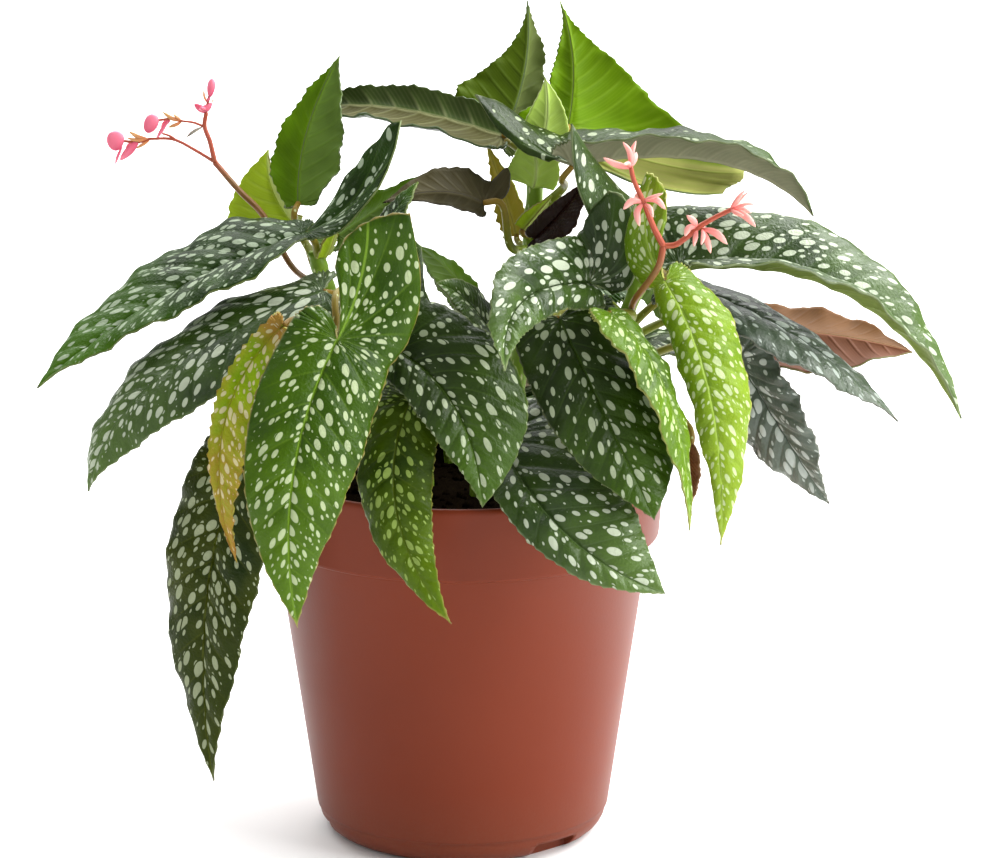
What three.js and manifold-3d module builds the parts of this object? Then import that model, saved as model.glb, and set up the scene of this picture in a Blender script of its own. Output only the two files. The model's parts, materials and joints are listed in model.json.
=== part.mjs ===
// A polka dot begonia in its nursery pot, in millimetres with +Z up.
// The origin is the middle of the pot's flat base, and the front looks along -Y.
import * as THREE from 'three';
import { mergeVertices } from 'three/addons/utils/BufferGeometryUtils.js';
import Module from 'manifold-3d';

const wasm = await Module();
wasm.setup();

// The pot: a 15 cm nursery pot with a plain collar and three shallow notches round its base.
const RIM_RADIUS = 75;
const POT_HEIGHT = 141;
const COLLAR_HEIGHT = 27;
const COLLAR_TAPER = 2;
const COLLAR_STEP = 3.5;
const BASE_RADIUS = 45;
const WALL_FOOT_RADIUS = 54.6;
const BASE_ROUNDING = 9;
const FOOT_STEP = 0.8;
const WALL = 2;
const FLOOR = 5;
const NOTCH_WIDTH = 13;
const NOTCH_HEIGHT = 7;
const NOTCH_RADIUS = 46;
const NOTCH_ANGLES = [-47, 73, 193];
const NOTCH_DEPTH = 20;
const RIM_BEVEL = 0.8;
const RIM_LIP_HEIGHT = 2;
const RIM_DRAW_IN = 3;
const LEDGE_RISE = 2;
const INNER_ROUNDING = 8;
const INNER_BEVEL = 12.6;
const ROUND_SIDES = 40;

// The soil, and the plain holes that the canes stand in.
const SEAT_GAP = 0.3;
const SOIL_EDGE = 130;
const SOIL_CROWN = 134;
const CANE_FOOT = 112;
const HOLE_CLEARANCE = 0.5;
const HOLE_SIDES = 12;
const HOLE_LENGTH = 60;
const SOIL_SHOULDER = 45;

// The blades of the leaves.
const BLADE_THICKNESS = 0.8;
const WIDEST_AT = 0.3;
const RIB_STATIONS = 24;
const STEPS = 9;
const SMALL_STEPS = 6;
const TOOTH = 0.6;
const RIPPLE_SHIFT = 0.37;
const RIPPLE_FADE = 2.2;
const LOBE_RIPPLE = 3;
const NARROW_ROUNDNESS = 0.1;
const LOBE_SWELL = 1.05;
const LOBE_SHRINK = 0.95;

// The petioles, from the cane to the underside of their leaf.
const PETIOLE_FOOT = 1.9;
const PETIOLE_END = 1.1;
const PETIOLE_SIDES = 5;
const PETIOLE_STEPS = 5;
const SEAT_SINK = 0.75;
const LEAD_LENGTH = 6;
const LEAD_SHARE = 0.2;
const RISE_SHARE = 0.3;
const ARRIVAL_SHARE = 0.35;
const CANE_SIDES = 8;
const CANE_STEPS = 10;

// The stalks, buds and petals of the two flower sprays.
const STALK_SIDES = 5;
const BUD_SIDES = 6;
const BUD_RINGS = 4;
const PETAL_SIDES = 4;
const PETAL_FOOT = 1.5;
const PETAL_TIP = 0.6;
const FLOWER_CORE = 3.4;

const COLOURS = {
  pot: '#9c4f38',
  soil: '#17120e',
  cane: '#6f8f34',
  dark: '#35502b',
  green: '#48701f',
  bright: '#6a9a22',
  yellow: '#a39a26',
  under: '#5f7f30',
  red: '#8c4f44',
  brown: '#54443c',
  dead: '#6b4522',
  bract: '#a9bf6a',
  pink: '#ec8494',
  salmon: '#f0a59a',
};

const vector = (point) => new THREE.Vector3(...point);
const degrees = THREE.MathUtils.degToRad;
const share = (value, from, to) => THREE.MathUtils.clamp((value - from) / (to - from), 0, 1);

// The outline of a blade in shares of its widths, with its angles in degrees from the midrib.
// Full and taper shape the run to the tip, flare the run back to the base from the widest part,
// and the basal lobe of the wide half ends at lobeAngle and closes at sinusAngle.
const OUTLINE = {
  fullWide: 1.9,
  fullNarrow: 1.9,
  taper: 1.2,
  belly: 0.22,
  flare: -0.1,
  lobeAngle: 125,
  sinusAngle: 160,
  sinusShare: 0.45,
  rise: 0.3,
  fall: 0.3,
  narrowAngle: 104,
  narrowSinus: 130,
  narrowShare: 0.62,
  cup: 2,
  wave: 1,
  waves: 3.5,
};

// A blade arched along its midrib. Base is where the petiole meets it, middle lies halfway along
// the midrib, and wide and narrow are the outermost points of the two halves. Turn is 1 where the
// wide half lies on the right of the upper face, seen with the tip away from the eye, and else -1.
class Blade {
  constructor(spec) {
    this.spec = spec;
    this.shape = { ...OUTLINE, ...spec.outline };
    this.base = vector(spec.base);
    this.tip = vector(spec.tip);
    const chord = this.base.clone().add(this.tip).multiplyScalar(0.5);
    const control = vector(spec.middle).multiplyScalar(2).sub(chord);
    this.rib = new THREE.QuadraticBezierCurve3(this.base, control, this.tip);
    this.carryFrame();
    this.measureHalves();
  }

  // Carries the sideways direction along the rib without twist, from where the blade is widest.
  carryFrame() {
    const widest = Math.round(WIDEST_AT * RIB_STATIONS);
    const along = [];
    for (let i = 0; i <= RIB_STATIONS; i += 1) along.push(this.rib.getTangent(i / RIB_STATIONS));
    const across = new Array(RIB_STATIONS + 1);
    const level = (direction, i) => direction.clone().projectOnPlane(along[i]).normalize();
    across[widest] = level(vector(this.spec.wide).sub(this.rib.getPoint(WIDEST_AT)), widest);
    for (let i = widest + 1; i <= RIB_STATIONS; i += 1) across[i] = level(across[i - 1], i);
    for (let i = widest - 1; i >= 0; i -= 1) across[i] = level(across[i + 1], i);
    this.along = along;
    this.across = across;
  }

  frameAt(s) {
    const place = Math.min(s * RIB_STATIONS, RIB_STATIONS - 1e-6);
    const i = Math.floor(place);
    const along = this.along[i].clone().lerp(this.along[i + 1], place - i);
    const across = this.across[i].clone().lerp(this.across[i + 1], place - i);
    return { point: this.rib.getPoint(s), along, across, up: across.clone().cross(along) };
  }

  // The width and the slope of each half, from its outermost point.
  measureHalves() {
    const frame = this.frameAt(WIDEST_AT);
    this.halves = [this.spec.wide, this.spec.narrow].map((outermost, side) => {
      const reach = vector(outermost).sub(frame.point).projectOnPlane(frame.along);
      const width = reach.length();
      const slope = [reach.dot(frame.across) / width, reach.dot(frame.up) / width];
      return { side, width, slope, lobe: null };
    });
    for (const half of this.halves) half.lobe = this.measureLobe(half);
  }

  measureLobe(half) {
    const shape = this.shape;
    const wide = half.side === 0;
    const start = half.width * this.spread(half.side, 0) / this.spread(half.side, WIDEST_AT);
    const end = degrees(wide ? shape.lobeAngle : shape.narrowAngle);
    const sinus = degrees(wide ? shape.sinusAngle : shape.narrowSinus);
    const outward = this.outward(half, this.frameAt(0));
    const offset = new THREE.Vector3();
    let reach = start * (wide ? LOBE_SWELL : LOBE_SHRINK);
    if (wide && this.spec.lobe) {
      const lobe = vector(this.spec.lobe);
      reach = lobe.distanceTo(this.base);
      offset.copy(lobe).sub(this.flat(reach, end, this.frameAt(0).along, outward));
    }
    const closing = reach * (wide ? shape.sinusShare : shape.narrowShare);
    const lift = wide && this.spec.lift ? vector(this.spec.lift) : new THREE.Vector3();
    return { start, end, sinus, reach, closing, offset, lift };
  }

  spread(side, s) {
    const { fullWide, fullNarrow, taper, belly, flare } = this.shape;
    if (s < belly) return 1 + flare * ((belly - s) / belly) ** 1.5;
    return (1 - share(s, belly, 1) ** (side === 0 ? fullWide : fullNarrow)) ** taper;
  }

  outward(half, frame) {
    return frame.across.clone().multiplyScalar(half.slope[0]).addScaledVector(frame.up, half.slope[1]);
  }

  flat(reach, angle, along, outward) {
    return this.base.clone().addScaledVector(along, reach * Math.cos(angle))
      .addScaledVector(outward, reach * Math.sin(angle));
  }

  upperSign(side) {
    return side === 0 ? this.spec.turn : -this.spec.turn;
  }

  // A point of the main blade: s runs from base to tip, t from the midrib to the margin.
  front(side, s, t) {
    const half = this.halves[side];
    const { cup, wave, waves } = this.shape;
    const frame = this.frameAt(s);
    const outward = this.outward(half, frame);
    const up = outward.clone().cross(frame.along).multiplyScalar(this.upperSign(side));
    const spread = this.spread(side, s);
    const width = half.width * spread / this.spread(side, WIDEST_AT);
    const phase = 2 * Math.PI * (waves * s + RIPPLE_SHIFT * side);
    const ripple = Math.sin(phase) * Math.min(RIPPLE_FADE * spread, 1);
    return frame.point.addScaledVector(outward, width * t)
      .addScaledVector(up, 4 * cup * t * (1 - t) * spread + wave * ripple * t ** 2);
  }

  lobeRadius(side, angle) {
    const { start, end, sinus, reach, closing } = this.halves[side].lobe;
    const rise = side === 0 ? this.shape.rise : NARROW_ROUNDNESS;
    const fall = side === 0 ? this.shape.fall : NARROW_ROUNDNESS;
    if (angle <= end) {
      const u = share(angle, Math.PI / 2, end);
      const growth = (1 - rise) * (0.5 - 0.5 * Math.cos(Math.PI * u)) + rise * u ** 2.2;
      return start + (reach - start) * growth;
    }
    const v = share(angle, end, sinus);
    return closing + (reach - closing) * ((1 - fall) * Math.sqrt(1 - v * v) + fall * (1 - v) ** 1.6);
  }

  // A point of the basal lobe: the angle runs from the rib's square line round to the sinus.
  back(side, angle, t) {
    const half = this.halves[side];
    const { end, sinus, reach, offset, lift } = half.lobe;
    const { cup, wave, flare } = this.shape;
    const frame = this.frameAt(0);
    const outward = this.outward(half, frame);
    const up = outward.clone().cross(frame.along).multiplyScalar(this.upperSign(side));
    const radius = this.lobeRadius(side, angle) * t;
    const u = share(angle, Math.PI / 2, end);
    const v = share(angle, end, sinus);
    const ripple = Math.sin(2 * Math.PI * RIPPLE_SHIFT * side - (angle - Math.PI / 2) * LOBE_RIPPLE);
    return this.flat(radius, angle, frame.along, outward)
      .addScaledVector(offset, (radius / reach) ** 2 * u * u * (3 - 2 * u))
      .addScaledVector(lift, Math.sqrt(v) * radius / reach)
      .addScaledVector(up, 4 * cup * t * (1 - t) * (1 + flare) + wave * ripple * t ** 2);
  }

  upperNormal() {
    return this.frameAt(0).up.multiplyScalar(this.spec.turn);
  }

  // Where a petiole ends under the base, and the direction that it arrives in.
  seat(radius) {
    const up = this.upperNormal();
    const toward = up.clone().addScaledVector(this.along[0], 1).normalize();
    const drop = BLADE_THICKNESS / 2 + 2 * SEAT_GAP + radius * SEAT_SINK;
    return { point: this.base.clone().addScaledVector(up, -drop), toward };
  }
}

// A closed sheet: the points on its middle surface, pushed out to both faces and walled round.
function sheet(points, triangles, thickness) {
  const normals = points.map(() => new THREE.Vector3());
  for (const corners of triangles) {
    const [a, b, c] = corners.map((index) => points[index]);
    const face = b.clone().sub(a).cross(c.clone().sub(a));
    for (const index of corners) normals[index].add(face);
  }
  const edges = new Map();
  for (const [a, b, c] of triangles) {
    for (const [from, to] of [[a, b], [b, c], [c, a]]) {
      if (!edges.delete(`${to} ${from}`)) edges.set(`${from} ${to}`, [from, to]);
    }
  }
  const positions = [];
  for (const side of [0.5, -0.5]) {
    points.forEach((point, index) => {
      const normal = normals[index].clone().normalize();
      positions.push(...point.clone().addScaledVector(normal, side * thickness).toArray());
    });
  }
  const under = points.length;
  const faces = [];
  for (const [a, b, c] of triangles) faces.push(a, b, c, c + under, b + under, a + under);
  for (const [a, b] of edges.values()) {
    faces.push(a + under, b + under, b, a + under, b, a);
  }
  const geometry = new THREE.BufferGeometry();
  geometry.setAttribute('position', new THREE.Float32BufferAttribute(positions, 3));
  geometry.setIndex(faces);
  return geometry;
}

// The blade as one closed sheet, with every second point of its margin drawn in as a tooth.
function bladeGeometry(blade) {
  const steps = blade.spec.small ? SMALL_STEPS : STEPS;
  const tooth = blade.spec.small ? TOOTH / 2 : TOOTH;
  const points = [];
  const triangles = [];
  const add = (point) => points.push(point) - 1;
  const rib = [];
  for (let i = 0; i < steps; i += 1) rib.push(add(blade.rib.getPoint(i / steps)));
  const tip = add(blade.tip.clone());
  for (const side of [0, 1]) {
    const turned = (a, b, c) => triangles.push(side === 0 ? [a, b, c] : [a, c, b]);
    const width = blade.halves[side].width;
    const rows = [];
    for (let i = 0; i < steps; i += 1) {
      const edge = 1 - (i % 2) * tooth / width;
      rows.push([0.5, edge].map((t) => add(blade.front(side, i / steps, t))));
    }
    for (let i = 0; i < steps - 1; i += 1) {
      const [half, edge] = rows[i];
      const [nextHalf, nextEdge] = rows[i + 1];
      turned(rib[i], half, nextHalf);
      turned(rib[i], nextHalf, rib[i + 1]);
      turned(half, edge, nextEdge);
      turned(half, nextEdge, nextHalf);
    }
    const [lastHalf, lastEdge] = rows[steps - 1];
    turned(rib[steps - 1], lastHalf, tip);
    turned(lastHalf, lastEdge, tip);
    const { end, sinus } = blade.halves[side].lobe;
    const lobed = side === 0 ? [0.55, 1, 1.55, 2] : [1, 2];
    const angles = blade.spec.sheath ? [] : lobed;
    let [half, edge] = rows[0];
    for (const part of angles) {
      const angle = part <= 1
        ? THREE.MathUtils.lerp(Math.PI / 2, end, part)
        : THREE.MathUtils.lerp(end, sinus, part - 1);
      const nextHalf = add(blade.back(side, angle, 0.5));
      const nextEdge = add(blade.back(side, angle, 1));
      turned(rib[0], nextHalf, half);
      turned(half, nextHalf, nextEdge);
      turned(half, nextEdge, edge);
      half = nextHalf;
      edge = nextEdge;
    }
  }
  return sheet(points, triangles, BLADE_THICKNESS);
}

// A round limb of changing thickness along a curve, closed by a flat disc at each end.
function limbGeometry(curve, radiusAt, sides, steps) {
  const frames = curve.computeFrenetFrames(steps, false);
  const positions = [];
  const faces = [];
  for (let i = 0; i <= steps; i += 1) {
    const centre = curve.getPointAt(i / steps);
    for (let k = 0; k < sides; k += 1) {
      const angle = 2 * Math.PI * k / sides;
      const point = centre.clone()
        .addScaledVector(frames.normals[i], radiusAt(i / steps) * Math.cos(angle))
        .addScaledVector(frames.binormals[i], radiusAt(i / steps) * Math.sin(angle));
      positions.push(...point.toArray());
    }
  }
  const start = positions.length / 3;
  positions.push(...curve.getPointAt(0).toArray(), ...curve.getPointAt(1).toArray());
  for (let k = 0; k < sides; k += 1) {
    const next = (k + 1) % sides;
    for (let i = 0; i < steps; i += 1) {
      const a = i * sides + k;
      const b = i * sides + next;
      faces.push(a, b, b + sides, a, b + sides, a + sides);
    }
    faces.push(start, next, k, start + 1, steps * sides + k, steps * sides + next);
  }
  const geometry = new THREE.BufferGeometry();
  geometry.setAttribute('position', new THREE.Float32BufferAttribute(positions, 3));
  geometry.setIndex(faces);
  return geometry;
}

function toSolid(geometry) {
  const plain = geometry.clone();
  plain.deleteAttribute('normal');
  plain.deleteAttribute('uv');
  const merged = mergeVertices(plain, 1e-4);
  return new wasm.Manifold(new wasm.Mesh({
    numProp: 3,
    vertProperties: merged.attributes.position.array,
    triVerts: new Uint32Array(merged.index.array),
  }));
}

function toGeometry(solid) {
  const mesh = solid.getMesh();
  const geometry = new THREE.BufferGeometry();
  geometry.setAttribute('position', new THREE.BufferAttribute(mesh.vertProperties, 3));
  geometry.setIndex(new THREE.BufferAttribute(mesh.triVerts, 1));
  return geometry;
}

const joined = (solids) => toGeometry(solids.reduce((whole, solid) => whole.add(solid)));

const plant = new THREE.Group();

function addNode(name, geometry, colour, roughness) {
  geometry.computeVertexNormals();
  const material = new THREE.MeshStandardMaterial({ color: colour, roughness, metalness: 0 });
  const mesh = new THREE.Mesh(geometry, material);
  mesh.name = name;
  plant.add(mesh);
}

const leaf = (name, colour, spec) => ({ name, colour, ...spec });

// The leaves on the left of the plant, from the outside in.
const LEFT_LEAVES = [
  leaf('leaf_left_upper', 'green', {
    base: [-56, -22, 230], middle: [-105, -24, 208], tip: [-153, -34, 176],
    wide: [-81, -44, 215], narrow: [-86, 8, 228], lobe: [-21, -26, 271], lift: [-6, 2, 6], turn: -1,
    outline: { fullWide: 2.3, fullNarrow: 3.2, belly: 0.26, flare: -0.75, lobeAngle: 190,
      sinusAngle: 214, rise: 1, fall: 0.7, sinusShare: 0.42, narrowAngle: 104, narrowSinus: 130 },
  }),
  leaf('leaf_left_lower', 'dark', {
    base: [-49, -42, 213], middle: [-106, -52, 185], tip: [-133, -60, 144],
    wide: [-82, -64, 182], narrow: [-83, -24, 206], turn: -1,
    outline: { fullWide: 2.6, fullNarrow: 4, flare: -0.35, lobeAngle: 100, sinusAngle: 122,
      rise: 0.1, fall: 0.1 },
  }),
  leaf('leaf_left_yellow', 'yellow', {
    base: [-62, -78, 208], middle: [-83, -80, 171], tip: [-79, -80, 123],
    wide: [-87, -78, 181], narrow: [-69, -86, 177], turn: 1,
    outline: { fullWide: 2.2, fullNarrow: 2.2, lobeAngle: 115, sinusAngle: 140, sinusShare: 0.3,
      narrowAngle: 100, narrowSinus: 120, cup: 0.8 },
  }),
  leaf('leaf_left_hanging', 'dark', {
    base: [-79, -46, 150], middle: [-92, -50, 97], tip: [-91, -44, 30],
    wide: [-107, -38, 114], narrow: [-71, -60, 115], turn: 1,
    outline: { fullWide: 2.2, fullNarrow: 2.2, lobeAngle: 120, sinusAngle: 170 },
  }),
  leaf('leaf_left_folded', 'bract', {
    base: [-61, 24, 223], middle: [-70, 30, 236], tip: [-72, 36, 250],
    wide: [-92, 30, 226], narrow: [-65, 20, 235], turn: 1, small: true, sheath: true,
    outline: { fullWide: 1.5, fullNarrow: 1.5, cup: 1, wave: 0.5 },
  }),
  leaf('leaf_left_upright', 'under', {
    base: [-60, 13, 234], middle: [-57, 23, 259], tip: [-45, 31, 286],
    wide: [-71, 23, 247], narrow: [-44, 13, 253], turn: 1,
    outline: { fullWide: 1.8, fullNarrow: 2.4, belly: 0.28, flare: -0.55, lobeAngle: 96,
      sinusAngle: 112, narrowAngle: 94, narrowSinus: 104 },
  }),
  leaf('leaf_left_inner', 'under', {
    base: [-45, -2, 225], middle: [-29, -2, 236], tip: [-11, -2, 249],
    wide: [-39, 12, 234], narrow: [-34, -12, 229], turn: 1, small: true,
    outline: { fullWide: 2, fullNarrow: 2, wave: 0.5 },
  }),
  leaf('leaf_left_small', 'green', {
    base: [-28, -50, 236], middle: [-21, -46, 245], tip: [-15, -44, 253],
    wide: [-27, -40, 242], narrow: [-21, -54, 241], turn: -1, small: true,
    outline: { cup: 0.6, wave: 0.3 },
  }),
];

// The leaves that hang over the front of the pot and fill the middle.
const FRONT_LEAVES = [
  leaf('leaf_front_large', 'bright', {
    base: [-42, -98, 208], middle: [-57, -118, 163], tip: [-56, -114, 109],
    wide: [-30, -104, 180], narrow: [-72, -112, 184], lobe: [-17, -92, 251], turn: -1,
    outline: { fullWide: 2.3, fullNarrow: 2.3, lobeAngle: 158, sinusAngle: 204, rise: 0.5,
      fall: 0.55, sinusShare: 0.45, narrowAngle: 104, narrowSinus: 142, narrowShare: 0.4 },
  }),
  leaf('leaf_front_small', 'bright', {
    base: [-17, -82, 183], middle: [-22, -97, 147], tip: [-3, -102, 107],
    wide: [-36, -90, 152], narrow: [-9, -92, 159], turn: 1,
    outline: { fullWide: 2.4, fullNarrow: 2.4, lobeAngle: 120, sinusAngle: 170 },
  }),
  leaf('leaf_centre', 'dark', {
    base: [-22, -80, 200], middle: [-1, -92, 181], tip: [8, -98, 148],
    wide: [7, -74, 209], narrow: [-18, -92, 184], lobe: [-17, -74, 239], turn: -1,
    outline: { fullWide: 2.7, fullNarrow: 2.4, belly: 0.35, flare: -0.15, lobeAngle: 146,
      sinusAngle: 210 },
  }),
  leaf('leaf_centre_upper', 'dark', {
    base: [45, -48, 217], middle: [21, -82, 217], tip: [16, -96, 196],
    wide: [26, -62, 234], narrow: [34, -74, 212], lobe: [57, -48, 249], turn: 1,
    outline: { fullWide: 1.7, fullNarrow: 2.2, belly: 0.35, flare: 0.15, lobeAngle: 150,
      sinusAngle: 208, rise: 0, fall: 0, sinusShare: 0.4, narrowAngle: 94, narrowSinus: 106 },
  }),
  leaf('leaf_front_right', 'dark', {
    base: [35, -56, 206], middle: [52, -79, 174], tip: [68, -92, 142],
    wide: [68, -62, 188], narrow: [30, -78, 174], turn: -1,
    outline: { fullWide: 4, fullNarrow: 2.5, lobeAngle: 100, sinusAngle: 118 },
  }),
  leaf('leaf_over_rim', 'dark', {
    base: [14, -58, 162], middle: [38, -92, 136], tip: [72, -98, 117],
    wide: [57, -82, 149], narrow: [17, -84, 140], turn: -1,
    outline: { fullWide: 4, fullNarrow: 2.8, lobeAngle: 120, sinusAngle: 160 },
  }),
  leaf('leaf_centre_olive', 'under', {
    base: [3, -20, 205], middle: [-6, -14, 216], tip: [-19, -10, 224],
    wide: [1, -4, 213], narrow: [-8, -28, 211], turn: -1, small: true,
    outline: { cup: 1, wave: 0.4 },
  }),
  leaf('leaf_centre_small', 'dark', {
    base: [10, -44, 199], middle: [1, -50, 212], tip: [-9, -56, 219],
    wide: [8, -40, 211], narrow: [1, -60, 206], turn: 1, small: true,
    outline: { cup: 1, wave: 0.4 },
  }),
];

// The leaves on the right of the plant.
const RIGHT_LEAVES = [
  leaf('leaf_right_bright', 'bright', {
    base: [72, -58, 220], middle: [88, -72, 181], tip: [92, -76, 128],
    wide: [75, -62, 197], narrow: [100, -61, 195], lobe: [66, -57, 259], turn: 1,
    outline: { fullWide: 2.5, fullNarrow: 2.5, flare: -0.4, lobeAngle: 174, sinusAngle: 206,
      rise: 0.7, fall: 0.4, sinusShare: 0.5 },
  }),
  leaf('leaf_right_slender', 'bright', {
    base: [53, -66, 210], middle: [73, -78, 182], tip: [81, -88, 137],
    wide: [72, -68, 192], narrow: [61, -86, 192], turn: -1,
    outline: { fullWide: 2.4, fullNarrow: 2.4, lobeAngle: 100, sinusAngle: 130, cup: 0.8 },
  }),
  leaf('leaf_right_arching', 'green', {
    base: [79, -26, 217], middle: [139, -20, 207], tip: [182, -24, 162],
    wide: [109, -5, 235], narrow: [107, -44, 224], lobe: [39, -56, 276], turn: -1,
    outline: { fullWide: 2.2, fullNarrow: 2.2, flare: 0.1, lobeAngle: 145, sinusAngle: 160, rise: 1,
      fall: 0.7, sinusShare: 0.3, narrowAngle: 104, narrowSinus: 130 },
  }),
  leaf('leaf_right_grey', 'dark', {
    base: [80, -22, 211], middle: [120, -36, 195], tip: [157, -44, 166],
    wide: [102, -50, 196], narrow: [106, -10, 202], turn: 1,
    outline: { fullWide: 2.4, fullNarrow: 2.4, lobeAngle: 105, sinusAngle: 125 },
  }),
  leaf('leaf_right_red', 'red', {
    base: [105, 12, 187], middle: [138, 10, 185], tip: [166, 4, 180],
    wide: [117, -10, 177], narrow: [122, 30, 192], turn: -1,
    outline: { fullWide: 2.2, fullNarrow: 2.2, lobeAngle: 105, sinusAngle: 130 },
  }),
  leaf('leaf_right_lower', 'dark', {
    base: [101, -10, 181], middle: [116, -16, 157], tip: [134, -22, 129],
    wide: [102, -6, 150], narrow: [120, -28, 174], turn: 1,
    outline: { fullWide: 2.6, fullNarrow: 2.6, lobeAngle: 105, sinusAngle: 130 },
  }),
  leaf('leaf_right_dead', 'dead', {
    base: [81, -62, 160], middle: [82, -62, 149], tip: [81, -60, 137],
    wide: [78, -58, 153], narrow: [85, -66, 155], turn: 1, small: true,
    outline: { cup: 0.4, wave: 0.3 },
  }),
];

// The leaves round the tall cane at the back.
const TOP_LEAVES = [
  leaf('leaf_top_right', 'under', {
    base: [39, 22, 261], middle: [41, 36, 283], tip: [36, 44, 305],
    wide: [69, 34, 273], narrow: [32, 32, 275], lobe: [96, 20, 236], turn: -1,
    outline: { fullWide: 1.1, fullNarrow: 1.8, taper: 2, belly: 0.3, flare: 1.4, lobeAngle: 116,
      sinusAngle: 138, rise: 0, fall: 0.9, sinusShare: 0.3 },
  }),
  leaf('leaf_top_spotted', 'dark', {
    base: [40, -18, 254], middle: [92, -18, 255], tip: [127, -20, 236],
    wide: [66, -1, 264.5], narrow: [68, -27, 266], lobe: [5, -8, 278], turn: -1,
    outline: { fullWide: 4, fullNarrow: 5, flare: 0.15, lobeAngle: 150, sinusAngle: 162, rise: 0.3,
      fall: 0.75, sinusShare: 0.2, narrowAngle: 104, narrowSinus: 130 },
  }),
  leaf('leaf_top_centre', 'under', {
    base: [15, 26, 257], middle: [23, 40, 279], tip: [24, 48, 304],
    wide: [-2, 32, 268], narrow: [31, 44, 271], turn: 1,
    outline: { fullWide: 1.1, fullNarrow: 3, taper: 1.6, belly: 0.25, lobeAngle: 110,
      sinusAngle: 130 },
  }),
  leaf('leaf_top_left', 'under', {
    base: [15, 12, 259], middle: [-28, 28, 267], tip: [-62, 44, 262],
    wide: [-2, 0, 262], narrow: [-2, 24, 273], turn: 1,
    outline: { fullWide: 3, fullNarrow: 3, lobeAngle: 100, sinusAngle: 120 },
  }),
  leaf('leaf_middle_brown', 'brown', {
    base: [8, -12, 239], middle: [-8, -16, 244], tip: [-28, -22, 241],
    wide: [-2, -4, 251], narrow: [0, -18, 238], lobe: [17, -6, 251], turn: -1, small: true,
    outline: { fullWide: 1.8, fullNarrow: 1.8, cup: 1, wave: 0.5, lobeAngle: 120, sinusAngle: 150 },
  }),
  leaf('leaf_middle_maroon', 'brown', {
    base: [27, -1, 224], middle: [37, -4, 235], tip: [45, -4, 246],
    wide: [45, -14, 234], narrow: [29, -1, 233], turn: 1, small: true,
    outline: { fullWide: 2.6, fullNarrow: 2, cup: 1, wave: 0.5 },
  }),
  leaf('leaf_middle_dying', 'yellow', {
    base: [20.3, 23.4, 220], middle: [15.3, 25.4, 237], tip: [9, 28, 254],
    wide: [11.3, 27.4, 230], narrow: [22.3, 21.4, 233], turn: 1, small: true, sheath: true,
    outline: { cup: 0.6, wave: 0.5 },
  }),
];

// The leaves at the back, which hang round the pot as those at the front do.
const REAR_LEAVES = [
  leaf('leaf_rear_1', 'green', {
    base: [-48, 24, 190], middle: [-74, 58, 178], tip: [-88, 88, 124],
    wide: [-80, 34, 180], narrow: [-54, 56, 178], turn: -1,
  }),
  leaf('leaf_rear_2', 'dark', {
    base: [-22, 40, 184], middle: [-38, 84, 178], tip: [-50, 116, 122],
    wide: [-48, 62, 176], narrow: [-14, 66, 182], turn: -1,
  }),
  leaf('leaf_rear_3', 'dark', {
    base: [14, 42, 176], middle: [18, 90, 162], tip: [14, 122, 102],
    wide: [-6, 68, 162], narrow: [36, 66, 166], turn: -1,
    outline: { lobeAngle: 105, sinusAngle: 125 },
  }),
  leaf('leaf_rear_4', 'green', {
    base: [46, 34, 200], middle: [74, 76, 196], tip: [94, 110, 146],
    wide: [44, 70, 194], narrow: [80, 52, 196], turn: -1,
  }),
  leaf('leaf_rear_5', 'dark', {
    base: [66, 22, 180], middle: [104, 48, 172], tip: [128, 66, 120],
    wide: [72, 52, 174], narrow: [98, 26, 176], turn: -1,
  }),
  leaf('leaf_rear_6', 'dark', {
    base: [-54, 12, 162], middle: [-82, 38, 144], tip: [-90, 52, 86],
    wide: [-80, 15, 151], narrow: [-57, 43, 152], turn: -1,
  }),
  leaf('leaf_rear_7', 'bright', {
    base: [-10, 38, 159], middle: [-20, 85, 144], tip: [-31, 106, 84],
    wide: [-35, 60, 152], narrow: [8, 64, 153], turn: -1,
    outline: { lobeAngle: 98, sinusAngle: 112, narrowAngle: 98, narrowSinus: 112 },
  }),
  leaf('leaf_rear_8', 'green', {
    base: [38, 34, 158], middle: [57, 78, 144], tip: [72, 98, 84],
    wide: [26, 68, 150], narrow: [66, 50, 151], turn: -1,
    outline: { lobeAngle: 100, sinusAngle: 120 },
  }),
];

// The sheaths and bracts at the nodes of the canes.
const BRACTS = [
  leaf('bract_left', 'bract', {
    base: [-49, -17, 220], middle: [-46, -20, 228], tip: [-44, -20, 236],
    wide: [-50, -22, 226], narrow: [-45, -17, 226], turn: 1, small: true, sheath: true,
    outline: { cup: 0.6, wave: 0.2 },
  }),
  leaf('bract_top_upper', 'bract', {
    base: [28, 8.4, 252], middle: [31, 6, 267], tip: [30.4, 7, 282],
    wide: [22, 6.2, 264], narrow: [39.5, 7, 262], turn: 1, small: true, sheath: true,
    outline: { cup: 1, wave: 0.2 },
  }),
  leaf('bract_top_lower', 'bract', {
    base: [26, 7.6, 241], middle: [27, 3, 253], tip: [22.4, 5, 267],
    wide: [17, 4, 253], narrow: [36, 4, 251], turn: 1, small: true, sheath: true,
    outline: { cup: 1, wave: 0.2 },
  }),
  leaf('bract_stem', 'bract', {
    base: [22.4, 5.2, 226], middle: [27, 3.2, 232], tip: [33, 3.2, 239],
    wide: [22, 3.2, 232], narrow: [31, 5.2, 230], turn: 1, small: true, sheath: true,
    outline: { cup: 0.6, wave: 0.2 },
  }),
];

const LEAVES = [...LEFT_LEAVES, ...FRONT_LEAVES, ...RIGHT_LEAVES, ...TOP_LEAVES, ...REAR_LEAVES];
const blades = new Map([...LEAVES, ...BRACTS].map((spec) => [spec.name, new Blade(spec)]));

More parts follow.
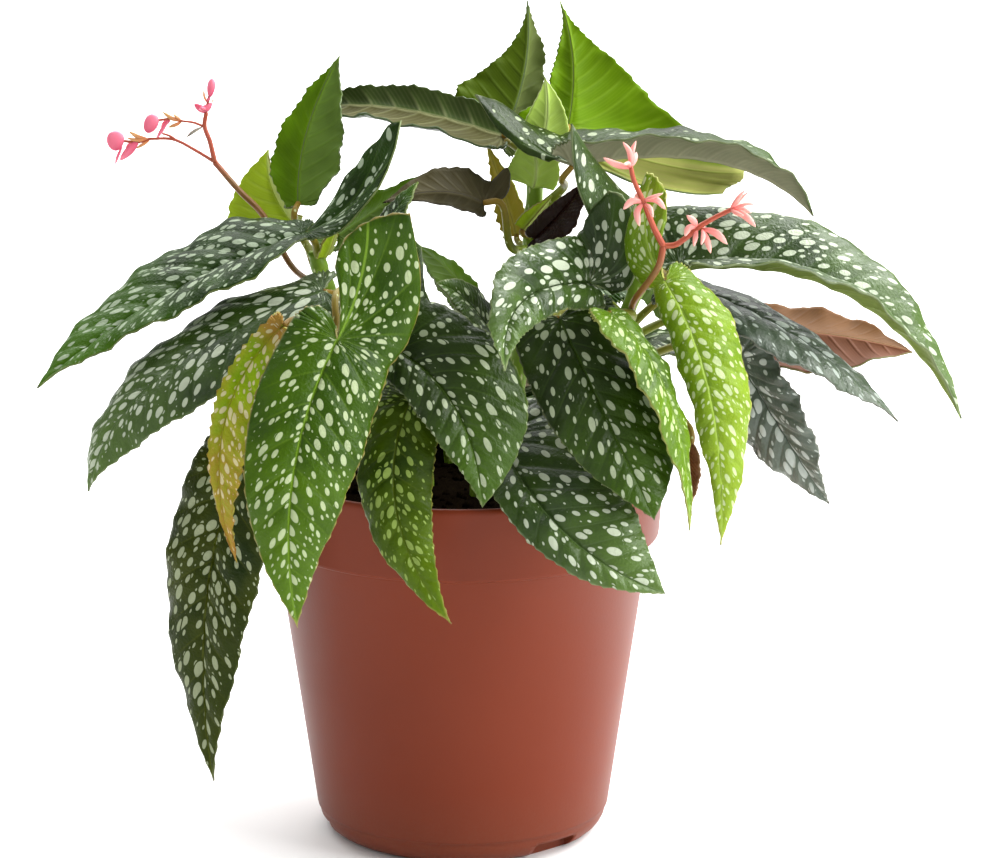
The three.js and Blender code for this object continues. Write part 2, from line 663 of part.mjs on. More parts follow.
// The canes, each with where it stands, its path above the soil and the petioles that grow from it:
// how far up the cane each petiole leaves, and any points that it is bent through to its leaf.
const CANES = [
  {
    name: 'cane_left',
    at: [-14, -10],
    path: [[-30, -12, 172], [-48, -14, 206], [-53, -15, 222]],
    foot: 3.6,
    top: 2.6,
    petioles: [
      ['leaf_left_upper', 0.95], ['leaf_left_upright', 0.9, [-56, 4, 219], [-61, 11, 226]],
      ['leaf_left_folded', 0.82, [-54, 10, 210]], ['leaf_left_inner', 0.88], ['leaf_left_lower', 0.8],
      ['leaf_left_yellow', 0.62, [-27, -46, 192], [-40, -74, 208]],
      ['leaf_front_large', 0.7, [-34, -46, 212], [-43, -82, 220]], ['leaf_left_hanging', 0.45],
      ['leaf_left_small', 0.76], ['leaf_rear_1', 0.6], ['leaf_rear_6', 0.36],
    ],
  },
  {
    name: 'cane_centre',
    at: [6, -22],
    path: [[6, -28, 168], [4, -30, 188]],
    foot: 3.4,
    top: 2.4,
    petioles: [
      ['leaf_centre', 0.9], ['leaf_front_small', 0.7], ['leaf_over_rim', 0.5],
      ['leaf_centre_small', 0.96], ['leaf_centre_olive', 0.97],
    ],
  },
  {
    name: 'cane_right',
    at: [32, -14],
    path: [[44, -24, 168], [58, -34, 200], [66, -34, 220]],
    foot: 3.6,
    top: 2.6,
    petioles: [
      ['leaf_centre_upper', 0.8], ['leaf_front_right', 0.55], ['leaf_right_bright', 0.93],
      ['leaf_right_slender', 0.76, [61, -48, 206]], ['leaf_right_grey', 0.7, [66, -24, 201]],
      ['leaf_right_arching', 0.97],
      ['leaf_right_lower', 0.5], ['leaf_right_red', 0.6], ['leaf_right_dead', 0.4],
      ['leaf_rear_5', 0.66],
    ],
  },
  {
    name: 'cane_back',
    at: [16, 12],
    path: [[22, 13, 180], [26, 12, 220], [27, 12, 250]],
    foot: 3.8,
    top: 3,
    petioles: [
      ['leaf_top_right', 0.99], ['leaf_top_centre', 0.98], ['leaf_top_left', 0.96],
      ['leaf_top_spotted', 0.86, [37, 2, 242]], ['leaf_middle_brown', 0.76, [18, -2, 221]],
      ['leaf_middle_maroon', 0.7],
      ['leaf_middle_dying', 0.74], ['leaf_rear_4', 0.5],
    ],
  },
  {
    name: 'cane_rear',
    at: [-4, 24],
    path: [[-2, 27, 150], [2, 30, 164]],
    foot: 3.2,
    top: 2.4,
    petioles: [
      ['leaf_rear_2', 0.8, [-12, 35, 171]], ['leaf_rear_3', 0.98], ['leaf_rear_7', 0.5],
      ['leaf_rear_8', 0.6, [18, 29, 142], [32, 29, 146]],
    ],
  },
];

function canePath(cane) {
  const upright = [CANE_FOOT, SOIL_EDGE - 2, SOIL_CROWN + 4].map((height) => [...cane.at, height]);
  return new THREE.CatmullRomCurve3([...upright, ...cane.path].map(vector), false, 'centripetal');
}

function petioleCurve(path, [name, height, ...bends]) {
  const foot = path.getPointAt(height);
  const { point, toward } = blades.get(name).seat(PETIOLE_END);
  const distance = foot.distanceTo(point);
  if (bends.length > 0) {
    const lead = point.clone().addScaledVector(toward, -Math.min(LEAD_LENGTH, LEAD_SHARE * distance));
    return new THREE.CatmullRomCurve3([foot, ...bends.map(vector), lead, point], false, 'centripetal');
  }
  const rise = path.getTangentAt(height).multiplyScalar(RISE_SHARE * distance);
  const lead = point.clone().addScaledVector(toward, -ARRIVAL_SHARE * distance);
  return new THREE.CubicBezierCurve3(foot, foot.clone().add(rise), lead, point);
}

function caneGeometry(cane) {
  const path = canePath(cane);
  const thickness = (s) => THREE.MathUtils.lerp(cane.foot, cane.top, s);
  const stem = toSolid(limbGeometry(path, thickness, CANE_SIDES, CANE_STEPS));
  const stalks = cane.petioles.map((petiole) => {
    const slimming = (s) => THREE.MathUtils.lerp(PETIOLE_FOOT, PETIOLE_END, s);
    return toSolid(limbGeometry(petioleCurve(path, petiole), slimming, PETIOLE_SIDES, PETIOLE_STEPS));
  });
  return joined([stem, ...stalks]);
}

// Turns a half section, given as radius and height pairs, round the upright axis.
function turned(outline) {
  const points = outline.map(([radius, height]) => new THREE.Vector2(radius, height));
  const geometry = new THREE.LatheGeometry(points, ROUND_SIDES);
  geometry.rotateX(Math.PI / 2);
  return toSolid(geometry);
}

// The pot's wall, drawn as one closed half section, with its notches cut from the foot.
function potGeometry() {
  const collarFoot = POT_HEIGHT - COLLAR_HEIGHT;
  const under = RIM_RADIUS - COLLAR_TAPER - COLLAR_STEP;
  const rounding = [];
  for (const turn of [0, 30, 60, 90]) {
    const angle = degrees(turn);
    rounding.push([
      BASE_RADIUS + (WALL_FOOT_RADIUS - FOOT_STEP - BASE_RADIUS) * Math.sin(angle),
      BASE_ROUNDING * (1 - Math.cos(angle)),
    ]);
  }
  const outline = [
    [0, 0],
    ...rounding,
    [WALL_FOOT_RADIUS, BASE_ROUNDING + 1],
    [under, collarFoot - 1],
    [RIM_RADIUS - COLLAR_TAPER, collarFoot],
    [RIM_RADIUS, POT_HEIGHT - RIM_LIP_HEIGHT],
    [RIM_RADIUS - RIM_BEVEL, POT_HEIGHT],
    [RIM_RADIUS - WALL - RIM_BEVEL / 2, POT_HEIGHT],
    [RIM_RADIUS - WALL - 1, POT_HEIGHT - RIM_DRAW_IN],
    ...innerOutline(0),
  ];
  let pot = turned(outline);
  for (const azimuth of NOTCH_ANGLES) {
    const notch = new THREE.BoxGeometry(NOTCH_DEPTH, NOTCH_WIDTH, NOTCH_HEIGHT);
    notch.translate(NOTCH_RADIUS + NOTCH_DEPTH / 2, 0, NOTCH_HEIGHT / 2 - 0.01);
    notch.rotateZ(degrees(azimuth));
    pot = pot.subtract(toSolid(notch));
  }
  return toGeometry(pot);
}

// The inside of the pot from below its collar to the middle of its floor, drawn in by a gap.
function innerOutline(gap) {
  const collarFoot = POT_HEIGHT - COLLAR_HEIGHT;
  const under = RIM_RADIUS - COLLAR_TAPER - COLLAR_STEP - WALL;
  return [
    [RIM_RADIUS - COLLAR_TAPER - WALL - gap, collarFoot + LEDGE_RISE + gap],
    [under - gap, collarFoot - 1 + gap],
    [WALL_FOOT_RADIUS - WALL - 1 - gap, FLOOR + INNER_ROUNDING + gap],
    [WALL_FOOT_RADIUS - WALL - INNER_BEVEL - gap, FLOOR + gap],
    [0, FLOOR + gap],
  ];
}

function soilGeometry() {
  const outline = [
    ...innerOutline(SEAT_GAP).reverse(),
    [RIM_RADIUS - COLLAR_TAPER - WALL - SEAT_GAP, SOIL_EDGE],
    [SOIL_SHOULDER, SOIL_CROWN - 1],
    [0, SOIL_CROWN],
  ];
  let soil = turned(outline);
  for (const cane of CANES) {
    const [x, y] = cane.at;
    const radius = cane.foot + HOLE_CLEARANCE;
    const hole = new THREE.CylinderGeometry(radius, radius, HOLE_LENGTH, HOLE_SIDES);
    hole.rotateX(Math.PI / 2);
    hole.translate(x, y, CANE_FOOT - SEAT_GAP + HOLE_LENGTH / 2);
    soil = soil.subtract(toSolid(hole));
  }
  return toGeometry(soil);
}

addNode('pot', potGeometry(), COLOURS.pot, 0.5);
addNode('soil', soilGeometry(), COLOURS.soil, 0.95);
for (const cane of CANES) addNode(cane.name, caneGeometry(cane), COLOURS.cane, 0.5);
for (const { name, colour } of [...LEAVES, ...BRACTS]) {
  addNode(name, bladeGeometry(blades.get(name)), COLOURS[colour], 0.35);
}

// The flower sprays: a forked stalk with each bud and flower sunk into its end.
function stalk(points, foot, end) {
  const path = new THREE.CatmullRomCurve3(points.map(vector), false, 'centripetal');
  const thickness = (s) => THREE.MathUtils.lerp(foot, end, s);
  return toSolid(limbGeometry(path, thickness, STALK_SIDES, 2 * points.length - 2));
}

function bud(centre, size) {
  const shape = new THREE.SphereGeometry(1, BUD_SIDES, BUD_RINGS);
  shape.scale(...size.map((extent) => extent / 2));
  shape.translate(...centre);
  return toSolid(shape);
}

// A flower's petals, each a slim pointed finger from the flower's middle.
function fingers(centre, ends) {
  const core = bud(centre, [FLOWER_CORE, FLOWER_CORE, FLOWER_CORE]);
  const petals = ends.map((end) => {
    const tip = vector(centre).add(vector(end));
    const path = new THREE.LineCurve3(vector(centre), tip);
    const thickness = (s) => THREE.MathUtils.lerp(PETAL_FOOT, PETAL_TIP, s * s);
    return toSolid(limbGeometry(path, thickness, PETAL_SIDES, 2));
  });
  return [core, ...petals];
}

function leftSpray() {
  return joined([
    stalk([[-51, -11, 208], [-62, 4, 212], [-74, 10, 228], [-82, 8, 241], [-90, 6, 252]], 1.1, 1),
    stalk([[-90, 6, 252], [-99, 6, 256], [-106, 4, 260], [-113, 4, 260], [-124, 4, 259]], 0.9, 0.7),
    stalk([[-90, 6, 252], [-93, 6, 263], [-93, 6, 271], [-91, 6, 278]], 0.9, 0.7),
    stalk([[-93, 6, 264], [-102, 6, 266], [-108, 6, 267], [-113, 4, 266]], 0.7, 0.6),
    bud([-126, 4, 259], [9, 4, 8.5]),
    bud([-122, 4, 255], [8, 3, 5]),
    bud([-114, 4, 266], [8, 4, 8]),
    bud([-109, 5, 263], [4, 2.5, 7]),
    bud([-91, 6, 279], [4.5, 3.5, 7.5]),
    bud([-94, 6, 271], [7, 3.5, 4.5]),
  ]);
}

function rightSpray() {
  return joined([
    stalk([[61, -42, 207], [62, -58, 214], [67, -68, 226], [71, -68, 235]], 1.2, 1.1),
    stalk([[71, -67, 235], [69, -67, 239], [66, -67, 247], [63, -66, 252], [60, -66, 262]], 1.1, 0.8),
    stalk([[71, -67, 235], [76, -67, 235], [82, -67, 241], [90, -67, 247], [98, -67, 249]], 1, 0.7),
    ...fingers([60, -66, 262], [[-6, -1, 2], [1, -1, 7], [-3, 1, -5]]),
    ...fingers([65, -67, 248], [[-6, -2, 2], [-4, -1, -6], [7, -1, 2], [3, -2, -6]]),
    ...fingers([81, -67, 240], [[-2, -1, 5], [5, -2, -5], [8, -1, -1], [-3, -1, -4]]),
    ...fingers([98, -67, 249], [[5, -1, 6], [7, -1, 1], [3, -2, -5], [-3, -1, 4]]),
  ]);
}

addNode('spray_left', leftSpray(), COLOURS.pink, 0.5);
addNode('spray_right', rightSpray(), COLOURS.salmon, 0.5);

export default plant;
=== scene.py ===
"""The looks of a polka dot begonia in its nursery pot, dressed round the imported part.

Every size is in millimetres and turned to metres when a mesh is made. The frame is the part's own:
+Z is up, -Y is the front that the photograph shows, and the origin is the middle of the pot's base.
"""

import json
import logging
import math
import random
from collections.abc import Callable, Sequence
from dataclasses import dataclass, field
from enum import Enum
from typing import Any

import bmesh
import bpy
import numpy as np
from bmesh.types import BMesh, BMFace, BMVert
from bpy.types import Material, Object
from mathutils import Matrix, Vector, noise

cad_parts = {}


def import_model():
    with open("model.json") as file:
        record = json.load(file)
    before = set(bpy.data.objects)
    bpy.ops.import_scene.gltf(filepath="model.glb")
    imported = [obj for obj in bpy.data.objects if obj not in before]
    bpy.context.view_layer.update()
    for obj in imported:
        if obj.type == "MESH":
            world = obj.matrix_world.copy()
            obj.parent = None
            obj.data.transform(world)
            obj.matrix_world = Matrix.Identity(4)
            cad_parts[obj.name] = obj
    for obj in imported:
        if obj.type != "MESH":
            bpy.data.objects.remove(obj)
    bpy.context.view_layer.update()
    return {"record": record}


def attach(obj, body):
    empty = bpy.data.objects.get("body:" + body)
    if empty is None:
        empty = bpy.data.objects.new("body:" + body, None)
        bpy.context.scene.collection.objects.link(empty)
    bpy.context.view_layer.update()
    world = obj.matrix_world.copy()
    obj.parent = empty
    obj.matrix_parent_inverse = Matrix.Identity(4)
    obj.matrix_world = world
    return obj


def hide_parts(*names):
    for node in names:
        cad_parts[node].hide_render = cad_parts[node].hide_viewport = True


LOG = logging.getLogger("begonia")
MM = 0.001
Point = tuple[float, float, float]


def clamp(value: float) -> float:
    """Returns value held between 0 and 1."""
    return min(max(value, 0.0), 1.0)


def share(value: float, start: float, end: float) -> float:
    """Returns how far value lies from start to end, held between 0 and 1."""
    return clamp((value - start) / (end - start))


def smooth(value: float, start: float, end: float) -> float:
    """Returns share with an easy start and end."""
    part = share(value, start, end)
    return part * part * (3 - 2 * part)


def mix(first: float, second: float, part: float) -> float:
    """Returns the value that lies part of the way from first to second."""
    return first + (second - first) * part


def linear(colour: str) -> tuple[float, float, float, float]:
    """Turns an sRGB hex colour to linear light.

    Args:
        colour: Six hex digits after a hash sign.

    Returns:
        Red, green, blue and an alpha of 1.
    """
    parts = [int(colour[i : i + 2], 16) / 255 for i in (1, 3, 5)]
    light = [p / 12.92 if p <= 0.04045 else ((p + 0.055) / 1.055) ** 2.4 for p in parts]
    return (light[0], light[1], light[2], 1.0)


class Look(Enum):
    """The colouring of a blade."""

    DARK = "dark"
    # Slate, silvered and ashen blades are greyed and lightened as painted sheen, and ashen ones also as
    # painted light.
    SLATE = "slate"
    SILVERED = "silvered"
    ASHEN = "ashen"
    OLIVE = "olive"
    GREEN = "green"
    BRIGHT = "bright"
    FRESH = "fresh"
    LIME = "lime"
    MOTTLED = "mottled"
    YELLOW = "yellow"
    LIT_UNDER = "lit_under"
    SHADED_UNDER = "shaded_under"
    GREY_UNDER = "grey_under"
    GREEN_UNDER = "green_under"
    RED = "red"
    BROWN = "brown"
    MAROON = "maroon"
    DEAD = "dead"
    SHEATH = "sheath"
    BRACT = "bract"


@dataclass(frozen=True)
class Outline:
    """The outline of a blade in shares of its widths, with angles in degrees from the midrib.

    Full and taper shape the run to the tip, and flare the run back to the base from the belly. The
    wide half's basal lobe reaches out at lobe_angle and closes at sinus_angle with a share of its
    reach, and rise and fall bend its outline between. The narrow half has fields of its own. Cup is
    the arch of a half and wave the height of its ripples in millimetres, of which it has waves.
    """

    full_wide: float = 1.9
    full_narrow: float = 1.9
    taper: float = 1.2
    belly: float = 0.22
    flare: float = -0.1
    lobe_angle: float = 125
    sinus_angle: float = 160
    sinus_share: float = 0.45
    rise: float = 0.3
    fall: float = 0.3
    narrow_angle: float = 104
    narrow_sinus: float = 130
    narrow_share: float = 0.62
    cup: float = 2
    wave: float = 1
    waves: float = 3.5


@dataclass(frozen=True)
class Leaf:
    """One blade as it is placed in the part.

    Base is where the petiole meets it, middle lies halfway along the midrib, and wide and narrow are
    the outermost points of its two halves. Turn is 1 where the wide half lies on the right of the
    upper face, seen with the tip away from the eye, and else -1. Quilt and frill are how much of the
    usual swelling between veins and of the usual waves and teeth at the margin it has.
    """

    name: str
    look: Look
    base: Point
    middle: Point
    tip: Point
    wide: Point
    narrow: Point
    turn: int = -1
    lobe: Point | None = None
    lift: Point = (0, 0, 0)
    small: bool = False
    sheath: bool = False
    quilt: float = 1.0
    frill: float = 1.0
    outline: Outline = Outline()


LEAVES = (
    Leaf("leaf_left_upper", Look.GREEN, (-56, -22, 230), (-105, -24, 208), (-153, -34, 176),
         wide=(-81, -44, 215), narrow=(-86, 8, 228), lobe=(-21, -26, 271), lift=(-6, 2, 6),
         outline=Outline(full_wide=2.3, full_narrow=3.2, belly=0.26, flare=-0.75, lobe_angle=190,
                         sinus_angle=214, rise=1, fall=0.7, sinus_share=0.42)),
    Leaf("leaf_left_lower", Look.SILVERED, (-49, -42, 213), (-106, -52, 185), (-133, -60, 144),
         wide=(-82, -64, 182), narrow=(-83, -24, 206),
         outline=Outline(full_wide=2.6, full_narrow=4, flare=-0.35, lobe_angle=100, sinus_angle=122,
                         rise=0.1, fall=0.1)),
    Leaf("leaf_left_yellow", Look.YELLOW, (-62, -78, 208), (-83, -80, 171), (-79, -80, 123),
         wide=(-87, -78, 181), narrow=(-69, -86, 177), turn=1, quilt=0.8, frill=2.2,
         outline=Outline(full_wide=2.2, full_narrow=2.2, lobe_angle=115, sinus_angle=140,
                         sinus_share=0.3, narrow_angle=100, narrow_sinus=120, cup=0.8)),
    Leaf("leaf_left_hanging", Look.OLIVE, (-79, -46, 150), (-92, -50, 97), (-91, -44, 30),
         wide=(-107, -38, 114), narrow=(-71, -60, 115), turn=1,
         outline=Outline(full_wide=2.2, full_narrow=2.2, lobe_angle=120, sinus_angle=170)),
    Leaf("leaf_left_folded", Look.SHEATH, (-61, 24, 223), (-70, 30, 236), (-72, 36, 250),
         wide=(-92, 30, 226), narrow=(-65, 20, 235), turn=1, small=True, sheath=True, frill=3,
         outline=Outline(full_wide=1.5, full_narrow=1.5, cup=1, wave=0.5)),
    Leaf("leaf_left_upright", Look.GREEN_UNDER, (-60, 13, 234), (-57, 23, 259), (-45, 31, 286),
         wide=(-71, 23, 247), narrow=(-44, 13, 253), turn=1, quilt=0.5,
         outline=Outline(full_wide=1.8, full_narrow=2.4, belly=0.28, flare=-0.55, lobe_angle=96,
                         sinus_angle=112, narrow_angle=94, narrow_sinus=104)),
    Leaf("leaf_left_inner", Look.GREEN_UNDER, (-45, -2, 225), (-29, -2, 236), (-11, -2, 249),
         wide=(-39, 12, 234), narrow=(-34, -12, 229), turn=1, small=True,
         outline=Outline(full_wide=2, full_narrow=2, wave=0.5)),
    Leaf("leaf_left_small", Look.GREEN, (-28, -50, 236), (-21, -46, 245), (-15, -44, 253),
         wide=(-27, -40, 242), narrow=(-21, -54, 241), small=True,
         outline=Outline(cup=0.6, wave=0.3)),
    Leaf("leaf_front_large", Look.BRIGHT, (-42, -98, 208), (-57, -118, 163), (-56, -114, 109),
         wide=(-30, -104, 180), narrow=(-72, -112, 184), lobe=(-17, -92, 251),
         outline=Outline(full_wide=2.3, full_narrow=2.3, lobe_angle=158, sinus_angle=204, rise=0.5,
                         fall=0.55, narrow_sinus=142, narrow_share=0.4)),
    Leaf("leaf_front_small", Look.MOTTLED, (-17, -82, 183), (-22, -97, 147), (-3, -102, 107),
         wide=(-36, -90, 152), narrow=(-9, -92, 159), turn=1,
         outline=Outline(full_wide=2.4, full_narrow=2.4, lobe_angle=120, sinus_angle=170)),
    Leaf("leaf_centre", Look.DARK, (-22, -80, 200), (-1, -92, 181), (8, -98, 148),
         wide=(7, -74, 209), narrow=(-18, -92, 184), lobe=(-17, -74, 239),
         outline=Outline(full_wide=2.7, full_narrow=2.4, belly=0.35, flare=-0.15, lobe_angle=146,
                         sinus_angle=210)),
    Leaf("leaf_centre_upper", Look.SILVERED, (45, -48, 217), (21, -82, 217), (16, -96, 196),
         wide=(26, -62, 234), narrow=(34, -74, 212), turn=1, lobe=(57, -48, 249),
         outline=Outline(full_wide=1.7, full_narrow=2.2, belly=0.35, flare=0.15, lobe_angle=150,
                         sinus_angle=208, rise=0, fall=0, sinus_share=0.4, narrow_angle=94,
                         narrow_sinus=106)),
    Leaf("leaf_front_right", Look.DARK, (35, -56, 206), (52, -79, 174), (68, -92, 142),
         wide=(68, -62, 188), narrow=(30, -78, 174),
         outline=Outline(full_wide=4, full_narrow=2.5, lobe_angle=100, sinus_angle=118)),
    Leaf("leaf_over_rim", Look.SILVERED, (14, -58, 162), (38, -92, 136), (72, -98, 117),
         wide=(57, -82, 149), narrow=(17, -84, 140),
         outline=Outline(full_wide=4, full_narrow=2.8, lobe_angle=120)),
    Leaf("leaf_centre_olive", Look.GREEN_UNDER, (3, -20, 205), (-6, -14, 216), (-19, -10, 224),
         wide=(1, -4, 213), narrow=(-8, -28, 211), small=True,
         outline=Outline(cup=1, wave=0.4)),
    Leaf("leaf_centre_small", Look.DARK, (10, -44, 199), (1, -50, 212), (-9, -56, 219),
         wide=(8, -40, 211), narrow=(1, -60, 206), turn=1, small=True,
         outline=Outline(cup=1, wave=0.4)),
    Leaf("leaf_right_bright", Look.LIME, (72, -58, 220), (88, -72, 181), (92, -76, 128),
         wide=(75, -62, 197), narrow=(100, -61, 195), turn=1, lobe=(66, -57, 259),
         outline=Outline(full_wide=2.5, full_narrow=2.5, flare=-0.4, lobe_angle=174, sinus_angle=206,
                         rise=0.7, fall=0.4, sinus_share=0.5)),
    Leaf("leaf_right_slender", Look.FRESH, (53, -66, 210), (73, -78, 182), (81, -88, 137),
         wide=(72, -68, 192), narrow=(61, -86, 192),
         outline=Outline(full_wide=2.4, full_narrow=2.4, lobe_angle=100, sinus_angle=130, cup=0.8)),
    Leaf("leaf_right_arching", Look.SILVERED, (79, -26, 217), (139, -20, 207), (182, -24, 162),
         wide=(109, -5, 235), narrow=(107, -44, 224), lobe=(39, -56, 276),
         outline=Outline(full_wide=2.2, full_narrow=2.2, flare=0.1, lobe_angle=145, rise=1,
                         fall=0.7, sinus_share=0.3)),
    Leaf("leaf_right_grey", Look.SLATE, (80, -22, 211), (120, -36, 195), (157, -44, 166),
         wide=(102, -50, 196), narrow=(106, -10, 202), turn=1,
         outline=Outline(full_wide=2.4, full_narrow=2.4, lobe_angle=105, sinus_angle=125)),
    Leaf("leaf_right_red", Look.RED, (105, 12, 187), (138, 10, 185), (166, 4, 180),
         wide=(117, -10, 177), narrow=(122, 30, 192), quilt=0.2, frill=0.4,
         outline=Outline(full_wide=2.2, full_narrow=2.2, lobe_angle=105, sinus_angle=130)),
    # This leaf's ashen colouring is painted light and sheen, as it faces down and away from the lamps.
    Leaf("leaf_right_lower", Look.ASHEN, (101, -10, 181), (116, -16, 157), (134, -22, 129),
         wide=(102, -6, 150), narrow=(120, -28, 174), turn=1,
         outline=Outline(full_wide=2.6, full_narrow=2.6, lobe_angle=105, sinus_angle=130)),
    Leaf("leaf_right_dead", Look.DEAD, (81, -62, 160), (82, -62, 149), (81, -60, 137),
         wide=(78, -58, 153), narrow=(85, -66, 155), turn=1, small=True,
         outline=Outline(cup=0.4, wave=0.3)),
    Leaf("leaf_top_right", Look.LIT_UNDER, (39, 22, 261), (41, 36, 283), (36, 44, 305),
         wide=(69, 34, 273), narrow=(32, 32, 275), lobe=(96, 20, 236), quilt=0.45,
         outline=Outline(full_wide=1.1, full_narrow=1.8, taper=2, belly=0.3, flare=1.4,
                         lobe_angle=116, sinus_angle=138, rise=0, fall=0.9, sinus_share=0.3)),
    Leaf("leaf_top_spotted", Look.DARK, (40, -18, 254), (92, -18, 255), (127, -20, 236),
         wide=(66, -1, 264.5), narrow=(68, -27, 266), lobe=(5, -8, 278), quilt=0.6,
         outline=Outline(full_wide=4, full_narrow=5, flare=0.15, lobe_angle=150, sinus_angle=162,
                         fall=0.75, sinus_share=0.2)),
    Leaf("leaf_top_centre", Look.SHADED_UNDER, (15, 26, 257), (23, 40, 279), (24, 48, 304),
         wide=(-2, 32, 268), narrow=(31, 44, 271), turn=1, quilt=0.35,
         outline=Outline(full_wide=1.1, full_narrow=3, taper=1.6, belly=0.25, lobe_angle=110,
                         sinus_angle=130)),
    Leaf("leaf_top_left", Look.GREY_UNDER, (15, 12, 259), (-28, 28, 267), (-62, 44, 262),
         wide=(-2, 0, 262), narrow=(-2, 24, 273), turn=1,
         outline=Outline(full_wide=3, full_narrow=3, lobe_angle=100, sinus_angle=120)),
    Leaf("leaf_middle_brown", Look.BROWN, (8, -12, 239), (-8, -16, 244), (-28, -22, 241),
         wide=(-2, -4, 251), narrow=(0, -18, 238), lobe=(17, -6, 251), small=True,
         outline=Outline(full_wide=1.8, full_narrow=1.8, cup=1, wave=0.5, lobe_angle=120,
                         sinus_angle=150)),
    Leaf("leaf_middle_maroon", Look.MAROON, (27, -1, 224), (37, -4, 235), (45, -4, 246),
         wide=(45, -14, 234), narrow=(29, -1, 233), turn=1, small=True,
         outline=Outline(full_wide=2.6, full_narrow=2, cup=1, wave=0.5)),
    Leaf("leaf_middle_dying", Look.YELLOW, (20.3, 23.4, 220), (15.3, 25.4, 237), (9, 28, 254),
         wide=(11.3, 27.4, 230), narrow=(22.3, 21.4, 233), turn=1, small=True, sheath=True, frill=3,
         outline=Outline(cup=0.6, wave=0.5)),
    Leaf("leaf_rear_1", Look.GREEN, (-48, 24, 190), (-74, 58, 178), (-88, 88, 124),
         wide=(-80, 34, 180), narrow=(-54, 56, 178)),
    Leaf("leaf_rear_2", Look.DARK, (-22, 40, 184), (-38, 84, 178), (-50, 116, 122),
         wide=(-48, 62, 176), narrow=(-14, 66, 182)),
    Leaf("leaf_rear_3", Look.DARK, (14, 42, 176), (18, 90, 162), (14, 122, 102),
         wide=(-6, 68, 162), narrow=(36, 66, 166),
         outline=Outline(lobe_angle=105, sinus_angle=125)),
    Leaf("leaf_rear_4", Look.GREEN, (46, 34, 200), (74, 76, 196), (94, 110, 146),
         wide=(44, 70, 194), narrow=(80, 52, 196)),
    Leaf("leaf_rear_5", Look.DARK, (66, 22, 180), (104, 48, 172), (128, 66, 120),
         wide=(72, 52, 174), narrow=(98, 26, 176)),
    Leaf("leaf_rear_6", Look.DARK, (-54, 12, 162), (-82, 38, 144), (-90, 52, 86),
         wide=(-80, 15, 151), narrow=(-57, 43, 152)),
    Leaf("leaf_rear_7", Look.BRIGHT, (-10, 38, 159), (-20, 85, 144), (-31, 106, 84),
         wide=(-35, 60, 152), narrow=(8, 64, 153),
         outline=Outline(lobe_angle=98, sinus_angle=112, narrow_angle=98, narrow_sinus=112)),
    Leaf("leaf_rear_8", Look.GREEN, (38, 34, 158), (57, 78, 144), (72, 98, 84),
         wide=(26, 68, 150), narrow=(66, 50, 151),
         outline=Outline(lobe_angle=100, sinus_angle=120)),
    Leaf("bract_left", Look.SHEATH, (-49, -17, 220), (-46, -20, 228), (-44, -20, 236),
         wide=(-50, -22, 226), narrow=(-45, -17, 226), turn=1, small=True, sheath=True,
         outline=Outline(cup=0.6, wave=0.2)),
    Leaf("bract_top_upper", Look.BRACT, (28, 8.4, 252), (31, 6, 267), (30.4, 7, 282),
         wide=(22, 6.2, 264), narrow=(39.5, 7, 262), turn=1, small=True, sheath=True,
         outline=Outline(cup=1, wave=0.2)),
    Leaf("bract_top_lower", Look.BRACT, (26, 7.6, 241), (27, 3, 253), (22.4, 5, 267),
         wide=(17, 4, 253), narrow=(36, 4, 251), turn=1, small=True, sheath=True,
         outline=Outline(cup=1, wave=0.2)),
    Leaf("bract_stem", Look.SHEATH, (22.4, 5.2, 226), (27, 3.2, 232), (33, 3.2, 239),
         wide=(22, 3.2, 232), narrow=(31, 5.2, 230), turn=1, small=True, sheath=True,
         outline=Outline(cup=0.6, wave=0.2)),)


@dataclass(frozen=True)
class Cane:
    """A cane, with where it stands, its path above the soil and the petioles that grow from it.

    A petiole is given by its leaf, how far up the cane it leaves, and any points it bends through.
    """

    name: str
    at: tuple[float, float]
    path: tuple[Point, ...]
    foot: float
    top: float
    petioles: tuple[tuple[Any, ...], ...]


